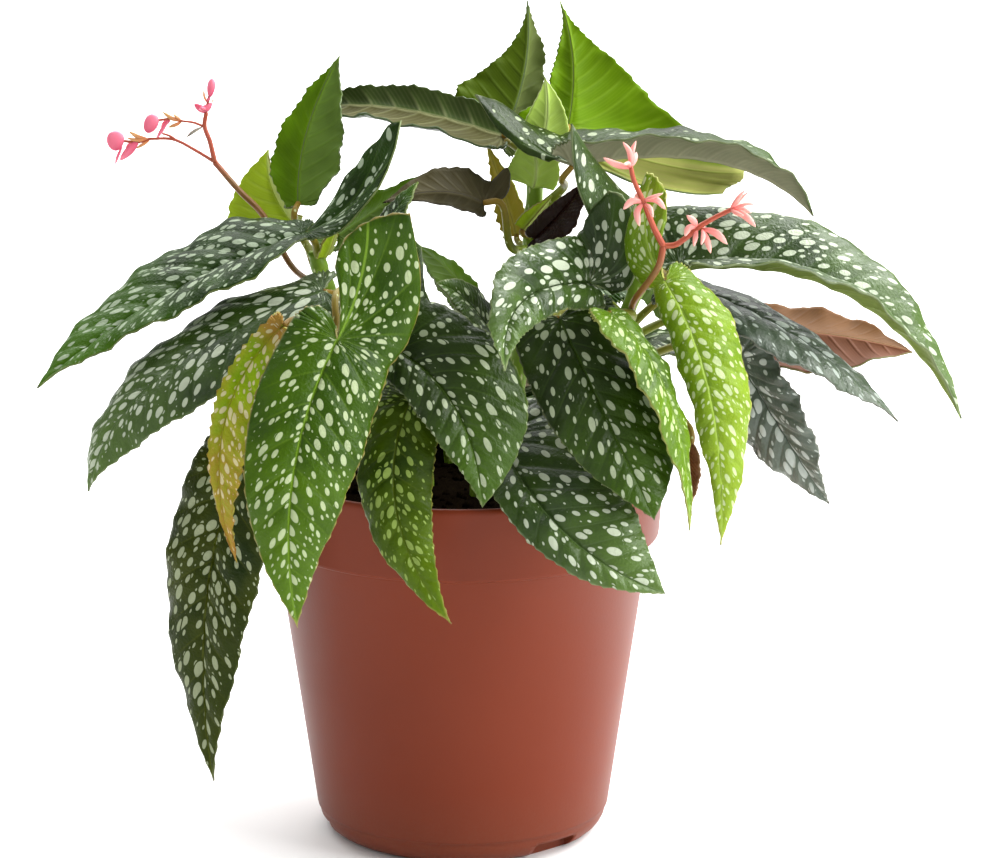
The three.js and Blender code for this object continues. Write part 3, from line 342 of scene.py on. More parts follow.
CANES = (
    Cane("cane_left", (-14, -10), ((-30, -12, 172), (-48, -14, 206), (-53, -15, 222)), 3.6, 2.6, (
        ("leaf_left_upper", 0.95),
        ("leaf_left_upright", 0.9, (-56, 4, 219), (-61, 11, 226)),
        ("leaf_left_folded", 0.82, (-54, 10, 210)),
        ("leaf_left_inner", 0.88),
        ("leaf_left_lower", 0.8),
        ("leaf_left_yellow", 0.62, (-27, -46, 192), (-40, -74, 208)),
        ("leaf_front_large", 0.7, (-34, -46, 212), (-43, -82, 220)),
        ("leaf_left_hanging", 0.45),
        ("leaf_left_small", 0.76),
        ("leaf_rear_1", 0.6),
        ("leaf_rear_6", 0.36),
    )),
    Cane("cane_centre", (6, -22), ((6, -28, 168), (4, -30, 188)), 3.4, 2.4, (
        ("leaf_centre", 0.9),
        ("leaf_front_small", 0.7),
        ("leaf_over_rim", 0.5),
        ("leaf_centre_small", 0.96),
        ("leaf_centre_olive", 0.97),
    )),
    Cane("cane_right", (32, -14), ((44, -24, 168), (58, -34, 200), (66, -34, 220)), 3.6, 2.6, (
        ("leaf_centre_upper", 0.8),
        ("leaf_front_right", 0.55),
        ("leaf_right_bright", 0.93),
        ("leaf_right_slender", 0.76, (61, -48, 206)),
        ("leaf_right_grey", 0.7, (66, -24, 201)),
        ("leaf_right_arching", 0.97),
        ("leaf_right_lower", 0.5),
        ("leaf_right_red", 0.6),
        ("leaf_right_dead", 0.4),
        ("leaf_rear_5", 0.66),
    )),
    Cane("cane_back", (16, 12), ((22, 13, 180), (26, 12, 220), (27, 12, 250)), 3.8, 3, (
        ("leaf_top_right", 0.99),
        ("leaf_top_centre", 0.98),
        ("leaf_top_left", 0.96),
        ("leaf_top_spotted", 0.86, (37, 2, 242)),
        ("leaf_middle_brown", 0.76, (18, -2, 221)),
        ("leaf_middle_maroon", 0.7),
        ("leaf_middle_dying", 0.74),
        ("bract_stem", 0.79),
        ("leaf_rear_4", 0.5),
    )),
    Cane("cane_rear", (-4, 24), ((-2, 27, 150), (2, 30, 164)), 3.2, 2.4, (
        ("leaf_rear_2", 0.8, (-12, 35, 171)),
        ("leaf_rear_3", 0.98),
        ("leaf_rear_7", 0.5),
        ("leaf_rear_8", 0.6, (18, 29, 142), (32, 29, 146)),
    )),
)


def lay_grid(
    bm: BMesh,
    columns: int,
    rows: int,
    place: Callable[[BMVert, float, float], Vector],
) -> list[BMFace]:
    """Adds a grid and moves each of its vertices to its place on a surface.

    Args:
        bm: The mesh that the grid is added to.
        columns: How many cells the grid has along its first direction.
        rows: How many cells it has along its second.
        place: Gives a vertex's place in millimetres from the vertex and its two shares of the grid.

    Returns:
        The grid's faces.
    """
    made = bmesh.ops.create_grid(bm, x_segments=columns, y_segments=rows, size=0.5)["verts"]
    for vertex in made:
        vertex.co = place(vertex, vertex.co.x + 0.5, vertex.co.y + 0.5)
    return list({face for vertex in made for face in vertex.link_faces})


def settle(
    bm: BMesh,
    name: str,
    node: str,
    slot: str,
    materials: Sequence[Material],
    outward: bool = True,
) -> Object:
    """Turns a mesh built in millimetres to a piece of the model that stands for a node of the part.

    Args:
        bm: The mesh, which is freed.
        name: The piece's name.
        node: The node that it stands for.
        slot: The record's material slot of that node, which is not used.
        materials: The piece's materials in the order of its face indices.
        outward: Whether the mesh is closed, so that its normals can be turned outward.

    Returns:
        The piece's object, which sits at the origin.
    """
    bmesh.ops.remove_doubles(bm, verts=bm.verts, dist=0.004)
    if outward:
        bmesh.ops.recalc_face_normals(bm, faces=bm.faces)
    bmesh.ops.scale(bm, vec=(MM, MM, MM), verts=bm.verts)
    for face in bm.faces:
        face.smooth = True
    mesh = bpy.data.meshes.new(name)
    bm.to_mesh(mesh)
    bm.free()
    for material in materials:
        mesh.materials.append(material)
    piece = bpy.data.objects.new(name, mesh)
    bpy.context.scene.collection.objects.link(piece)
    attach(piece, "root")
    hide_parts(node)
    LOG.info("%s has %d faces", name, len(mesh.polygons))
    return piece


@dataclass(frozen=True)
class Lobe:
    """The basal lobe of one half, with radii in millimetres and angles in radians from the midrib.

    Start is its radius square to the midrib, reach its radius at its end angle, and closing its
    radius at the sinus. Offset moves its outermost point into place, and lift raises its closing.
    """

    start: float
    reach: float
    closing: float
    end_angle: float
    sinus_angle: float
    offset: Vector
    lift: Vector


class Blade:
    """The curved surface of one leaf, arched along its midrib.

    A side is 0 for the wide half and 1 for the narrow one, s is a share of the midrib from base to
    tip, and t a share of the way from the midrib to the margin.
    """

    RIB_STATIONS = 24
    WIDEST_AT = 0.3
    RIPPLE_SHIFT = 0.37
    RIPPLE_FADE = 2.2
    LOBE_RIPPLE = 3.0
    NARROW_ROUNDNESS = 0.1
    WIDE_REACH = 1.05
    NARROW_REACH = 0.95

    def __init__(self, leaf: Leaf) -> None:
        """Sets the midrib, the frame carried along it and the two halves of a leaf.

        Args:
            leaf: The leaf's own points and outline.
        """
        self.leaf = leaf
        self.shape = leaf.outline
        self.base = Vector(leaf.base)
        self.tip = Vector(leaf.tip)
        self.control = 2 * Vector(leaf.middle) - (self.base + self.tip) / 2
        self.carry_frame()
        self.length = sum(
            (self.rib((i + 1) / self.RIB_STATIONS) - self.rib(i / self.RIB_STATIONS)).length
            for i in range(self.RIB_STATIONS)
        )
        self.measure_halves()

    def rib(self, s: float) -> Vector:
        """Returns the midrib's point at a share of its run from base to tip."""
        return (1 - s) ** 2 * self.base + 2 * s * (1 - s) * self.control + s * s * self.tip

    def carry_frame(self) -> None:
        """Carries the sideways direction along the rib without twist, from where it is widest."""
        widest = round(self.WIDEST_AT * self.RIB_STATIONS)
        self.along = []
        for i in range(self.RIB_STATIONS + 1):
            s = i / self.RIB_STATIONS
            run = (1 - s) * (self.control - self.base) + s * (self.tip - self.control)
            self.along.append(run.normalized())
        self.across = [Vector() for _ in self.along]

        def level(direction: Vector, i: int) -> Vector:
            """Returns direction with its part along the rib taken out."""
            return (direction - direction.project(self.along[i])).normalized()

        self.across[widest] = level(Vector(self.leaf.wide) - self.rib(self.WIDEST_AT), widest)
        for i in range(widest + 1, self.RIB_STATIONS + 1):
            self.across[i] = level(self.across[i - 1], i)
        for i in range(widest - 1, -1, -1):
            self.across[i] = level(self.across[i + 1], i)

    def frame_at(self, s: float) -> tuple[Vector, Vector, Vector]:
        """Finds the frame that is carried along the midrib.

        Args:
            s: The share of the midrib.

        Returns:
            The directions along, across and up.
        """
        place = min(s * self.RIB_STATIONS, self.RIB_STATIONS - 1e-6)
        i = math.floor(place)
        along = self.along[i].lerp(self.along[i + 1], place - i)
        across = self.across[i].lerp(self.across[i + 1], place - i)
        return along, across, across.cross(along)

    def measure_halves(self) -> None:
        """Finds the width and slope of each half from its outermost point, and then its lobe."""
        along, across, up = self.frame_at(self.WIDEST_AT)
        self.width = []
        self.slope = []
        for outermost in (self.leaf.wide, self.leaf.narrow):
            reach = Vector(outermost) - self.rib(self.WIDEST_AT)
            reach = reach - reach.project(along)
            self.width.append(reach.length)
            self.slope.append((reach.dot(across) / reach.length, reach.dot(up) / reach.length))
        self.lobes = [self.measure_lobe(side) for side in (0, 1)]

    def measure_lobe(self, side: int) -> Lobe:
        """Measures the basal lobe of one half.

        Args:
            side: The half.

        Returns:
            The lobe, which reaches to the leaf's own lobe point where it has one.
        """
        shape = self.shape
        wide = side == 0
        start = self.half_width(side, 0)
        end_angle = math.radians(shape.lobe_angle if wide else shape.narrow_angle)
        sinus_angle = math.radians(shape.sinus_angle if wide else shape.narrow_sinus)
        along, across, up = self.frame_at(0)
        outward = self.outward(side, across, up)
        offset = Vector()
        reach = start * (self.WIDE_REACH if wide else self.NARROW_REACH)
        if wide and self.leaf.lobe:
            outermost = Vector(self.leaf.lobe)
            reach = (outermost - self.base).length
            offset = outermost - self.flat(reach, end_angle, along, outward)
        closing = reach * (shape.sinus_share if wide else shape.narrow_share)
        lift = Vector(self.leaf.lift) if wide else Vector()
        return Lobe(start, reach, closing, end_angle, sinus_angle, offset, lift)

    def spread(self, side: int, s: float) -> float:
        """Finds how wide a half is.

        Args:
            side: The half.
            s: The share of the midrib.

        Returns:
            Its width as a share of its full width.
        """
        shape = self.shape
        if s < shape.belly:
            return 1 + shape.flare * ((shape.belly - s) / shape.belly) ** 1.5
        full = shape.full_narrow if side else shape.full_wide
        return (1 - share(s, shape.belly, 1) ** full) ** shape.taper

    def outward(self, side: int, across: Vector, up: Vector) -> Vector:
        """Returns the direction in which a half runs out from the midrib."""
        return across * self.slope[side][0] + up * self.slope[side][1]

    def flat(self, reach: float, angle: float, along: Vector, outward: Vector) -> Vector:
        """Returns the point at a distance and angle round the base."""
        return self.base + along * (reach * math.cos(angle)) + outward * (reach * math.sin(angle))

    def upper_sign(self, side: int) -> int:
        """Returns 1 or -1, by which a half's outward and along directions give its upper face."""
        return -self.leaf.turn if side else self.leaf.turn

    def half_width(self, side: int, s: float) -> float:
        """Returns a half's width in millimetres at a share of the midrib."""
        return self.width[side] * self.spread(side, s) / self.spread(side, self.WIDEST_AT)

    def front(self, side: int, s: float, t: float) -> tuple[Vector, Vector]:
        """Finds a point of the main blade.

        Args:
            side: The half.
            s: The share of the midrib.
            t: The share of the way to the margin.

        Returns:
            The point and the upper direction there.
        """
        along, across, up = self.frame_at(s)
        outward = self.outward(side, across, up)
        upper = outward.cross(along) * self.upper_sign(side)
        spread = self.spread(side, s)
        phase = math.tau * (self.shape.waves * s + self.RIPPLE_SHIFT * side)
        ripple = math.sin(phase) * min(self.RIPPLE_FADE * spread, 1)
        rise = 4 * self.shape.cup * t * (1 - t) * spread + self.shape.wave * ripple * t * t
        return self.rib(s) + outward * (self.half_width(side, s) * t) + upper * rise, upper

    def lobe_radius(self, side: int, angle: float) -> float:
        """Finds how far a basal lobe reaches from the base.

        Args:
            side: The half.
            angle: The angle from the midrib in radians.

        Returns:
            The distance in millimetres.
        """
        lobe = self.lobes[side]
        rise = self.NARROW_ROUNDNESS if side else self.shape.rise
        fall = self.NARROW_ROUNDNESS if side else self.shape.fall
        if angle <= lobe.end_angle:
            u = share(angle, math.pi / 2, lobe.end_angle)
            growth = (1 - rise) * (0.5 - 0.5 * math.cos(math.pi * u)) + rise * u**2.2
            return mix(lobe.start, lobe.reach, growth)
        v = share(angle, lobe.end_angle, lobe.sinus_angle)
        closing = (1 - fall) * math.sqrt(1 - v * v) + fall * (1 - v) ** 1.6
        return mix(lobe.closing, lobe.reach, closing)

    def back(self, side: int, angle: float, t: float) -> tuple[Vector, Vector]:
        """Finds a point of a basal lobe.

        Args:
            side: The half.
            angle: The angle from the midrib in radians.
            t: The share of the way to the margin.

        Returns:
            The point and the upper direction there.
        """
        lobe = self.lobes[side]
        along, across, up = self.frame_at(0)
        outward = self.outward(side, across, up)
        upper = outward.cross(along) * self.upper_sign(side)
        radius = self.lobe_radius(side, angle) * t
        u = smooth(angle, math.pi / 2, lobe.end_angle)
        v = share(angle, lobe.end_angle, lobe.sinus_angle)
        phase = math.tau * self.RIPPLE_SHIFT * side - (angle - math.pi / 2) * self.LOBE_RIPPLE
        rise = 4 * self.shape.cup * t * (1 - t) * (1 + self.shape.flare)
        rise += self.shape.wave * math.sin(phase) * t * t
        point = self.flat(radius, angle, along, outward)
        point += lobe.offset * ((radius / lobe.reach) ** 2 * u)
        point += lobe.lift * (math.sqrt(v) * radius / lobe.reach)
        return point + upper * rise, upper

    def lobe_angle(self, side: int, part: float) -> float:
        """Finds the angle at a share of a basal lobe.

        Args:
            side: The half.
            part: The share of the lobe, from its line square to the midrib round to the sinus.

        Returns:
            The angle from the midrib in radians.
        """
        lobe = self.lobes[side]
        if part < 0.5:
            return mix(math.pi / 2, lobe.end_angle, 2 * part)
        return mix(lobe.end_angle, lobe.sinus_angle, 2 * part - 1)

    def upper_normal(self) -> Vector:
        """Returns the upper direction at the base."""
        return self.frame_at(0)[2] * self.leaf.turn


class Nodes:
    """A material and its node tree as it grows."""

    def __init__(self, name: str) -> None:
        """Makes a material that holds one Principled BSDF.

        Args:
            name: The material's name.
        """
        self.material = bpy.data.materials.new(name)
        self.material.use_nodes = True
        self.tree = self.material.node_tree
        self.shader = self.tree.nodes["Principled BSDF"]

    def add(self, kind: str, inputs: Sequence[Any] | dict[Any, Any] = (), **settings: Any) -> Any:
        """Adds a node with its settings and links.

        Args:
            kind: The node's type without its ShaderNode prefix.
            inputs: Sockets or nodes to link, or plain values, in order or by input.
            settings: The node's own properties.

        Returns:
            The node's first output that is in use.
        """
        node = self.tree.nodes.new("ShaderNode" + kind)
        for key, value in settings.items():
            setattr(node, key, value)
        self.feed(node, inputs)
        return next(output for output in node.outputs if output.enabled)

    def feed(self, node: bpy.types.Node, inputs: Sequence[Any] | dict[Any, Any]) -> None:
        """Links or sets a node's inputs.

        Args:
            node: The node.
            inputs: Sockets to link or plain values, in order or by the input's name or index.
        """
        pairs = inputs.items() if isinstance(inputs, dict) else enumerate(inputs)
        for key, value in pairs:
            if isinstance(value, bpy.types.NodeSocket):
                self.tree.links.new(value, node.inputs[key])
            elif value is not None:
                node.inputs[key].default_value = value

    def finish(self, inputs: dict[str, Any]) -> Material:
        """Feeds the Principled BSDF and returns the material."""
        self.feed(self.shader, inputs)
        return self.material


@dataclass(frozen=True)
class BladeFinish:
    """The colours of one kind of blade, and how its spots and veins show.

    Deep and body mix over the upper face, which turns to tip at its end. Under is the underside, and
    its narrow half may have its own colour and its basal lobe a painted shade. Crowding brings the
    spots closer, and stretch is their length along the vein as a share of their width.
    """

    deep: str
    body: str
    tip: str
    spot: str
    vein: str
    under: str
    under_vein: str
    margin: str
    under_narrow: str = ""
    under_lobe_shade: str = ""
    withered: str = ""
    spot_most: float = 2.0
    crowding: float = 1.0
    stretch: float = 1.15
    vein_show: float = 0.25
    rib_show: float = 0.5
    roughness: float = 0.32
    sheen: float = 0.2


HIDDEN_TOP = ("#1a2c0c", "#284410", "#3f6410", "#98a385", "#3e5520")
FINISHES = {
    Look.DARK: BladeFinish(
        "#19260a", "#293c0c", "#385210", "#98a385", "#465e24", "#83836a", "#a19f84", "#6a7448",
        spot_most=1.9, stretch=1.0,
    ),
    # Grey-green body and tip: the leaf's own dark green, greyed as a painted sheen of grey reflection at
    # a slant.
    Look.SLATE: BladeFinish(
        "#2b362b", "#3b4839", "#46543f", "#9aa49a", "#4a5848", "#56503f", "#6c6552", "#74766a",
        sheen=0.45,
    ),
    # Lighter, greyer green body and tip: the leaves' own dark green, lightened as a painted whitish
    # sheen.
    Look.SILVERED: BladeFinish(
        "#20330f", "#354c16", "#4f682c", "#b6c0a8", "#60764a", "#6c7c3c", "#8c9a5c", "#7c865c",
        spot_most=2.2, sheen=0.34, roughness=0.3,
    ),
    # A lighter, greyer copy of the slate colours: painted light for a leaf that turns down and away from
    # the lamps, and painted sheen.
    Look.ASHEN: BladeFinish(
        "#465246", "#5c675b", "#6c776a", "#bcc4bc", "#707c6e", "#605848", "#746c5c", "#7c7c70",
        spot_most=2.4, sheen=0.45,
    ),
    Look.OLIVE: BladeFinish(
        "#1b2806", "#384008", "#303a06", "#949c7c", "#525a14", "#67664c", "#8c8a6c", "#6a7448",
        sheen=0.1, spot_most=2.1,
    ),
    Look.GREEN: BladeFinish(
        "#18290a", "#243f0b", "#3f640c", "#9cab90", "#466420", "#4c6424", "#6a8040", "#788448",
        sheen=0.1, spot_most=1.65, crowding=0.9, stretch=1.7,
    ),
    Look.BRIGHT: BladeFinish(
        "#263f03", "#375303", "#486604", "#a4b188", "#6f902a", "#4f7414", "#708e34", "#a08c54",
        vein_show=0.18, rib_show=0.7, spot_most=1.85, sheen=0.16,
    ),
    Look.FRESH: BladeFinish(
        "#3c580a", "#54740e", "#5e7e14", "#a8b884", "#7c9c34", "#5e8018", "#7c9834", "#948c4c",
        rib_show=0.7, spot_most=1.7, crowding=1.3,
    ),
    Look.LIME: BladeFinish(
        "#577610", "#739017", "#7e9822", "#b4c290", "#98b34a", "#6a8c20", "#8aa440", "#a89c58",
        vein_show=0.3, rib_show=0.7, spot_most=1.9, crowding=1.15,
    ),
    Look.MOTTLED: BladeFinish(
        "#1a2d03", "#344603", "#4e6604", "#7f9448", "#5c6c1c", "#566c14", "#748430", "#8c8440",
        vein_show=0.2, rib_show=0.4, spot_most=1.45, crowding=1.35, sheen=0.12,
    ),
    Look.YELLOW: BladeFinish(
        "#6e9808", "#8fa20e", "#92801c", "#c8be94", "#a29c38", "#a08e30", "#b4a450", "#845a24",
        withered="#a07a34", spot_most=1.8, crowding=1.6, sheen=0.12,
    ),
    Look.LIT_UNDER: BladeFinish(
        # The basal lobe's olive underside colour is painted shade, as the lobe turns down.
        *HIDDEN_TOP, "#5b7c05", "#7a9a24", "#788c28", under_lobe_shade="#919350", vein_show=0.3,
    ),
    Look.SHADED_UNDER: BladeFinish(
        *HIDDEN_TOP, "#425508", "#586c24", "#607038", under_narrow="#5a6634", vein_show=0.2,
    ),
    Look.GREY_UNDER: BladeFinish(
        *HIDDEN_TOP, "#4e4c2a", "#7c7f58", "#4c5c30", under_narrow="#38471f", vein_show=0.4,
    ),
    Look.GREEN_UNDER: BladeFinish(*HIDDEN_TOP, "#4d6f03", "#60801c", "#7c8a58", under_narrow="#56702c"),
    Look.RED: BladeFinish(
        "#2a3f1c", "#3c5a28", "#3c5a28", "#98a385", "#60703c", "#603c2a", "#7a5038", "#7c6030",
        under_narrow="#624428", vein_show=0.12,
    ),
    Look.BROWN: BladeFinish(
        "#201c14", "#2c2e20", "#2c2e20", "#8c8c80", "#4c4a38", "#3f3a25", "#5c563e", "#544a3c",
        vein_show=0.4,
    ),
    Look.MAROON: BladeFinish(
        "#1c0d06", "#22100a", "#22100a", "#8a7a70", "#341c14", "#221004", "#361c0c", "#402418",
    ),
    Look.DEAD: BladeFinish(
        "#4a2c14", "#6a4222", "#6a4222", "#a08060", "#80582f", "#6a4222", "#80582f", "#8c6a40",
    ),
    Look.SHEATH: BladeFinish(
        "#6f8f18", "#8ba030", "#a0a048", "#c8d8a0", "#a4b458", "#9cb824", "#b0c458", "#9c8448",
        under_narrow="#aab86c", roughness=0.45,
    ),
    Look.BRACT: BladeFinish(
        "#8cb440", "#aecb6c", "#b8c88c", "#c8d8a0", "#bccf84", "#a4c254", "#bcd080", "#aca878",
        roughness=0.45,
    ),
}
SPOTLESS = (Look.DEAD, Look.SHEATH, Look.BRACT, Look.MAROON)


@dataclass(frozen=True)
class BladePlace:
    """What a blade's mesh stores at each place, as the sockets of one material.

    Rib, reach, spacing and margin are in millimetres: from the midrib, along the vein, between veins
    and from the margin. Index is whole on a vein, rows the rows of spots from one vein to the next,
    and half is 1 on the wide half.
    """

    flat: Any
    along: Any
    rib: Any
    number: Any
    half: Any
    index: Any
    reach: Any
    spacing: Any
    margin: Any
    share: Any
    rows: Any

    @classmethod
    def read(cls, nodes: "Nodes") -> "BladePlace":
        """Adds the nodes that read a blade's attributes.

        Args:
            nodes: The material that they are added to.

        Returns:
            The sockets.
        """
        stored = [
            nodes.add("Attribute", attribute_name=name).node.outputs["Vector"]
            for name in ("flat", "vein", "edge")
        ]
        along, across, number = nodes.add("SeparateXYZ", [stored[0]]).node.outputs
        rib = nodes.add("Math", [across], operation="ABSOLUTE")
        half = nodes.add("Math", [across, 0.0], operation="GREATER_THAN")
        vein = nodes.add("SeparateXYZ", [stored[1]]).node.outputs
        edge = nodes.add("SeparateXYZ", [stored[2]]).node.outputs
        return cls(stored[0], along, rib, number, half, *vein, *edge)


class BladeMaterials:
    """The three skins of a begonia blade: waxy upper face, matt underside and thin margin.

    Widths, gaps and clearances are in millimetres, patches of tone are 20 mm across, and the grain
    of the cuticle 1.1 mm. Calm is how evenly the spots stand in their rows, from 0 to 1.
    """

    MIDRIB_WIDTH = 0.8
    VEIN_WIDTH = 0.6
    SPOT_GAP = 6.8
    CLEARANCE = 0.34
    CALM = 0.4
    PATCHES = 1 / 20
    GRAIN = 0.9

    def __init__(self, look: Look) -> None:
        """Takes the finish of a look.

        Args:
            look: The colouring that the materials are for.
        """
        self.look = look
        self.finish = FINISHES[look]

    def build(self) -> list[Material]:
        """Returns the upper, under and margin materials in the order of the blade's faces."""
        return [self.upper(), self.under(), self.margin()]

    def vein_lines(self, nodes: Nodes, blade: BladePlace, widening: float) -> tuple[Any, Any]:
        """Draws the midrib and the veins from the blade's own attributes.

        Args:
            nodes: The material that the nodes are added to.
            blade: The blade's sockets.
            widening: By how much the lines are wider than on the upper face.

        Returns:
            Two values that are 1 on the midrib and on a vein, and 0 away from them.
        """
        rib = nodes.add("MapRange", {"Value": blade.rib, "From Min": self.MIDRIB_WIDTH * widening,
                                     "From Max": 0.2}, interpolation_type="SMOOTHSTEP")
        nearest = nodes.add("Math", [blade.index], operation="ROUND")
        off = nodes.add("Math", [blade.index, nearest], operation="SUBTRACT")
        off = nodes.add("Math", [off], operation="ABSOLUTE")
        off = nodes.add("Math", [off, blade.spacing], operation="MULTIPLY")
        lines = nodes.add("MapRange", {"Value": off, "From Min": self.VEIN_WIDTH * widening,
                                       "From Max": 0.05}, interpolation_type="SMOOTHSTEP")
        fading = nodes.add("MapRange", {"Value": blade.margin, "From Min": 1.0, "From Max": 9.0,
                                        "To Min": 0.25})
        return rib, nodes.add("Math", [lines, fading], operation="MULTIPLY")

    def spots(self, nodes: Nodes, blade: BladePlace, finer: int, least: float, most: float) -> Any:
        """Scatters ellipses in rows between the veins, each clear of its neighbours.

        Args:
            nodes: The material that the nodes are added to.
            blade: The blade's sockets.
            finer: How many times closer the spots are than the blade's own rows.
            least: The radius of the smallest spot in millimetres, which may be below 0 for none.
            most: The radius of the largest.

        Returns:
            How deep a place lies in a spot in millimetres, below 0 outside.
        """
        closer = finer * self.finish.crowding
        gap = self.SPOT_GAP / closer
        rows = nodes.add("Math", [blade.rows, closer], operation="MULTIPLY")
        row = nodes.add("Math", [blade.index, rows, -self.CALM / 2], operation="MULTIPLY_ADD")
        row = nodes.add("Math", [blade.half, 31.0 * finer, row], operation="MULTIPLY_ADD")
        run = nodes.add("Math", [blade.reach, 1 / gap, blade.number], operation="MULTIPLY_ADD")
        width = nodes.add("Math", [blade.spacing, rows], operation="DIVIDE")
        place = nodes.add("CombineXYZ", [row, run])
        settings = {"Vector": place, "Scale": 1.0, "Randomness": 1 - self.CALM}
        cells = nodes.add("TexVoronoi", settings, voronoi_dimensions="2D").node
        walls = nodes.add("TexVoronoi", settings, voronoi_dimensions="2D", feature="DISTANCE_TO_EDGE")
        off = nodes.add("VectorMath", [place, cells.outputs["Position"]], operation="SUBTRACT")
        off = nodes.add("SeparateXYZ", [off]).node
        squeeze = nodes.add("MapRange", {"Value": width, "From Max": 0.8 * gap, "To Min": 0.12,
                                         "To Max": 1 / self.finish.stretch})
        aside = nodes.add("Math", [off.outputs[0], width], operation="MULTIPLY")
        ahead = nodes.add("Math", [off.outputs[1], squeeze], operation="MULTIPLY")
        ahead = nodes.add("Math", [ahead, gap], operation="MULTIPLY")
        far = nodes.add("CombineXYZ", [aside, ahead])
        far = nodes.add("VectorMath", [far], operation="LENGTH").node.outputs["Value"]
        drawn = nodes.add("SeparateXYZ", [cells.outputs["Color"]]).node
        radius = nodes.add("MapRange", {"Value": drawn.outputs[0], "To Min": least, "To Max": most})
        room = nodes.add("MapRange", {"Value": blade.margin, "From Min": 0.5, "From Max": 8.0,
                                      "To Min": 0.55, "To Max": self.finish.stretch})
        radius = nodes.add("Math", [radius, room], operation="MULTIPLY")
        radius = nodes.add("Math", [radius, squeeze], operation="MULTIPLY")
        inside = nodes.add("Math", [radius, far], operation="SUBTRACT")
        apart = nodes.add("Math", [walls, width], operation="MULTIPLY")
        apart = nodes.add("Math", [apart, self.CLEARANCE], operation="SUBTRACT")
        inside = nodes.add("Math", [inside, apart, 0.3], operation="SMOOTH_MIN")
        clear = nodes.add("Math", [blade.rib, self.MIDRIB_WIDTH - 0.3], operation="SUBTRACT")
        return nodes.add("Math", [inside, clear], operation="MINIMUM")

    def tissue(self, nodes: Nodes, blade: BladePlace, patches: Any, end: Any) -> Any:
        """Colours the face between its spots, withered from the margin and base where it is dying.

        Args:
            nodes: The material that the nodes are added to.
            blade: The blade's sockets.
            patches: A soft noise.
            end: How near a place is to the tip, from 0 to 1.

        Returns:
            The colour.
        """
        finish = self.finish
        tone = nodes.add("MapRange", {"Value": patches, "From Min": 0.35, "From Max": 0.65})
        colour = nodes.add("Mix", {0: tone, 6: linear(finish.deep), 7: linear(finish.body)},
                           data_type="RGBA")
        colour = nodes.add("Mix", {0: end, 6: colour, 7: linear(finish.tip)}, data_type="RGBA")
        if not finish.withered:
            return colour
        dry = nodes.add("MapRange", {"Value": blade.margin, "From Min": 4.0, "From Max": 0.0})
        dry = nodes.add("Math", [dry, end], operation="MAXIMUM")
        dry = nodes.add("Math", [dry, patches], operation="MULTIPLY")
        shrunk = nodes.add("MapRange", {"Value": blade.along, "From Min": 12.0, "From Max": 3.0})
        dry = nodes.add("Math", [dry, shrunk], operation="MAXIMUM")
        return nodes.add("Mix", {0: dry, 6: colour, 7: linear(finish.withered)}, data_type="RGBA")

    def lay_spots(
        self, nodes: Nodes, blade: BladePlace, colour: Any, patches: Any, end: Any
    ) -> tuple[Any, Any]:
        """Lays silver spots on the face, small ones clear of large ones, ringed brown near the tip.

        Args:
            nodes: The material that the nodes are added to.
            blade: The blade's sockets.
            colour: The colour between the spots.
            patches: A soft noise.
            end: How near a place is to the tip, from 0 to 1.

        Returns:
            The colour with its spots, and a value that is 1 in a spot and 0 outside.
        """
        finish = self.finish
        large = self.spots(nodes, blade, 1, 0.7, finish.spot_most)
        small = self.spots(nodes, blade, 2, -0.8, 0.95)
        beside = nodes.add("Math", [-0.45, large], operation="SUBTRACT")
        small = nodes.add("Math", [small, beside], operation="MINIMUM")
        inside = nodes.add("Math", [large, small], operation="MAXIMUM")
        spots = nodes.add("MapRange", {"Value": inside, "From Min": -0.1, "From Max": 0.14},
                          interpolation_type="SMOOTHSTEP")
        if finish.withered:
            ring = nodes.add("MapRange", {"Value": inside, "From Min": -0.9, "From Max": -0.1})
            ring = nodes.add("Math", [ring, end], operation="MULTIPLY")
            colour = nodes.add("Mix", {0: ring, 6: colour, 7: linear(finish.withered)},
                               data_type="RGBA")
        strength = nodes.add("MapRange", {"Value": patches, "To Min": 0.8})
        strength = nodes.add("Math", [spots, strength], operation="MULTIPLY")
        colour = nodes.add("Mix", {0: strength, 6: colour, 7: linear(finish.spot)}, data_type="RGBA")
        return colour, spots

    def upper(self) -> Material:
        """Dresses the upper face: a waxy cuticle with a cool sheen, fine ridges and a paler rim.

        Returns:
            The material.
        """
        finish = self.finish
        nodes = Nodes(f"waxy_cuticle_{self.look.value}")
        blade = BladePlace.read(nodes)
        patches = nodes.add("TexNoise", {"Vector": blade.flat, "Scale": self.PATCHES, "Detail": 4.0})
        ageing = nodes.add("Math", [patches, 0.5, blade.share], operation="MULTIPLY_ADD")
        end = nodes.add("MapRange", {"Value": ageing, "From Min": 0.6, "From Max": 1.2})
        colour = self.tissue(nodes, blade, patches, end)
        rib, lines = self.vein_lines(nodes, blade, 1.0)
        lines = nodes.add("Math", [lines, finish.vein_show], operation="MULTIPLY")
        rib = nodes.add("Math", [rib, finish.rib_show], operation="MULTIPLY")
        lines = nodes.add("Math", [lines, rib], operation="MAXIMUM")
        colour = nodes.add("Mix", {0: lines, 6: colour, 7: linear(finish.vein)}, data_type="RGBA")
        rough: Any = finish.roughness
        if self.look not in SPOTLESS:
            colour, spots = self.lay_spots(nodes, blade, colour, patches, end)
            rough = nodes.add("MapRange", {"Value": spots, "To Min": rough, "To Max": rough + 0.1})
        rim = nodes.add("MapRange", {"Value": blade.margin, "From Min": 0.9, "From Max": 0.1,
                                     "To Max": 0.65}, interpolation_type="SMOOTHSTEP")
        colour = nodes.add("Mix", {0: rim, 6: colour, 7: linear(finish.margin)}, data_type="RGBA")
        grain = nodes.add("TexNoise", {"Vector": blade.flat, "Scale": self.GRAIN, "Detail": 3.0})
        ridges = self.lines_between(nodes, blade, 3)
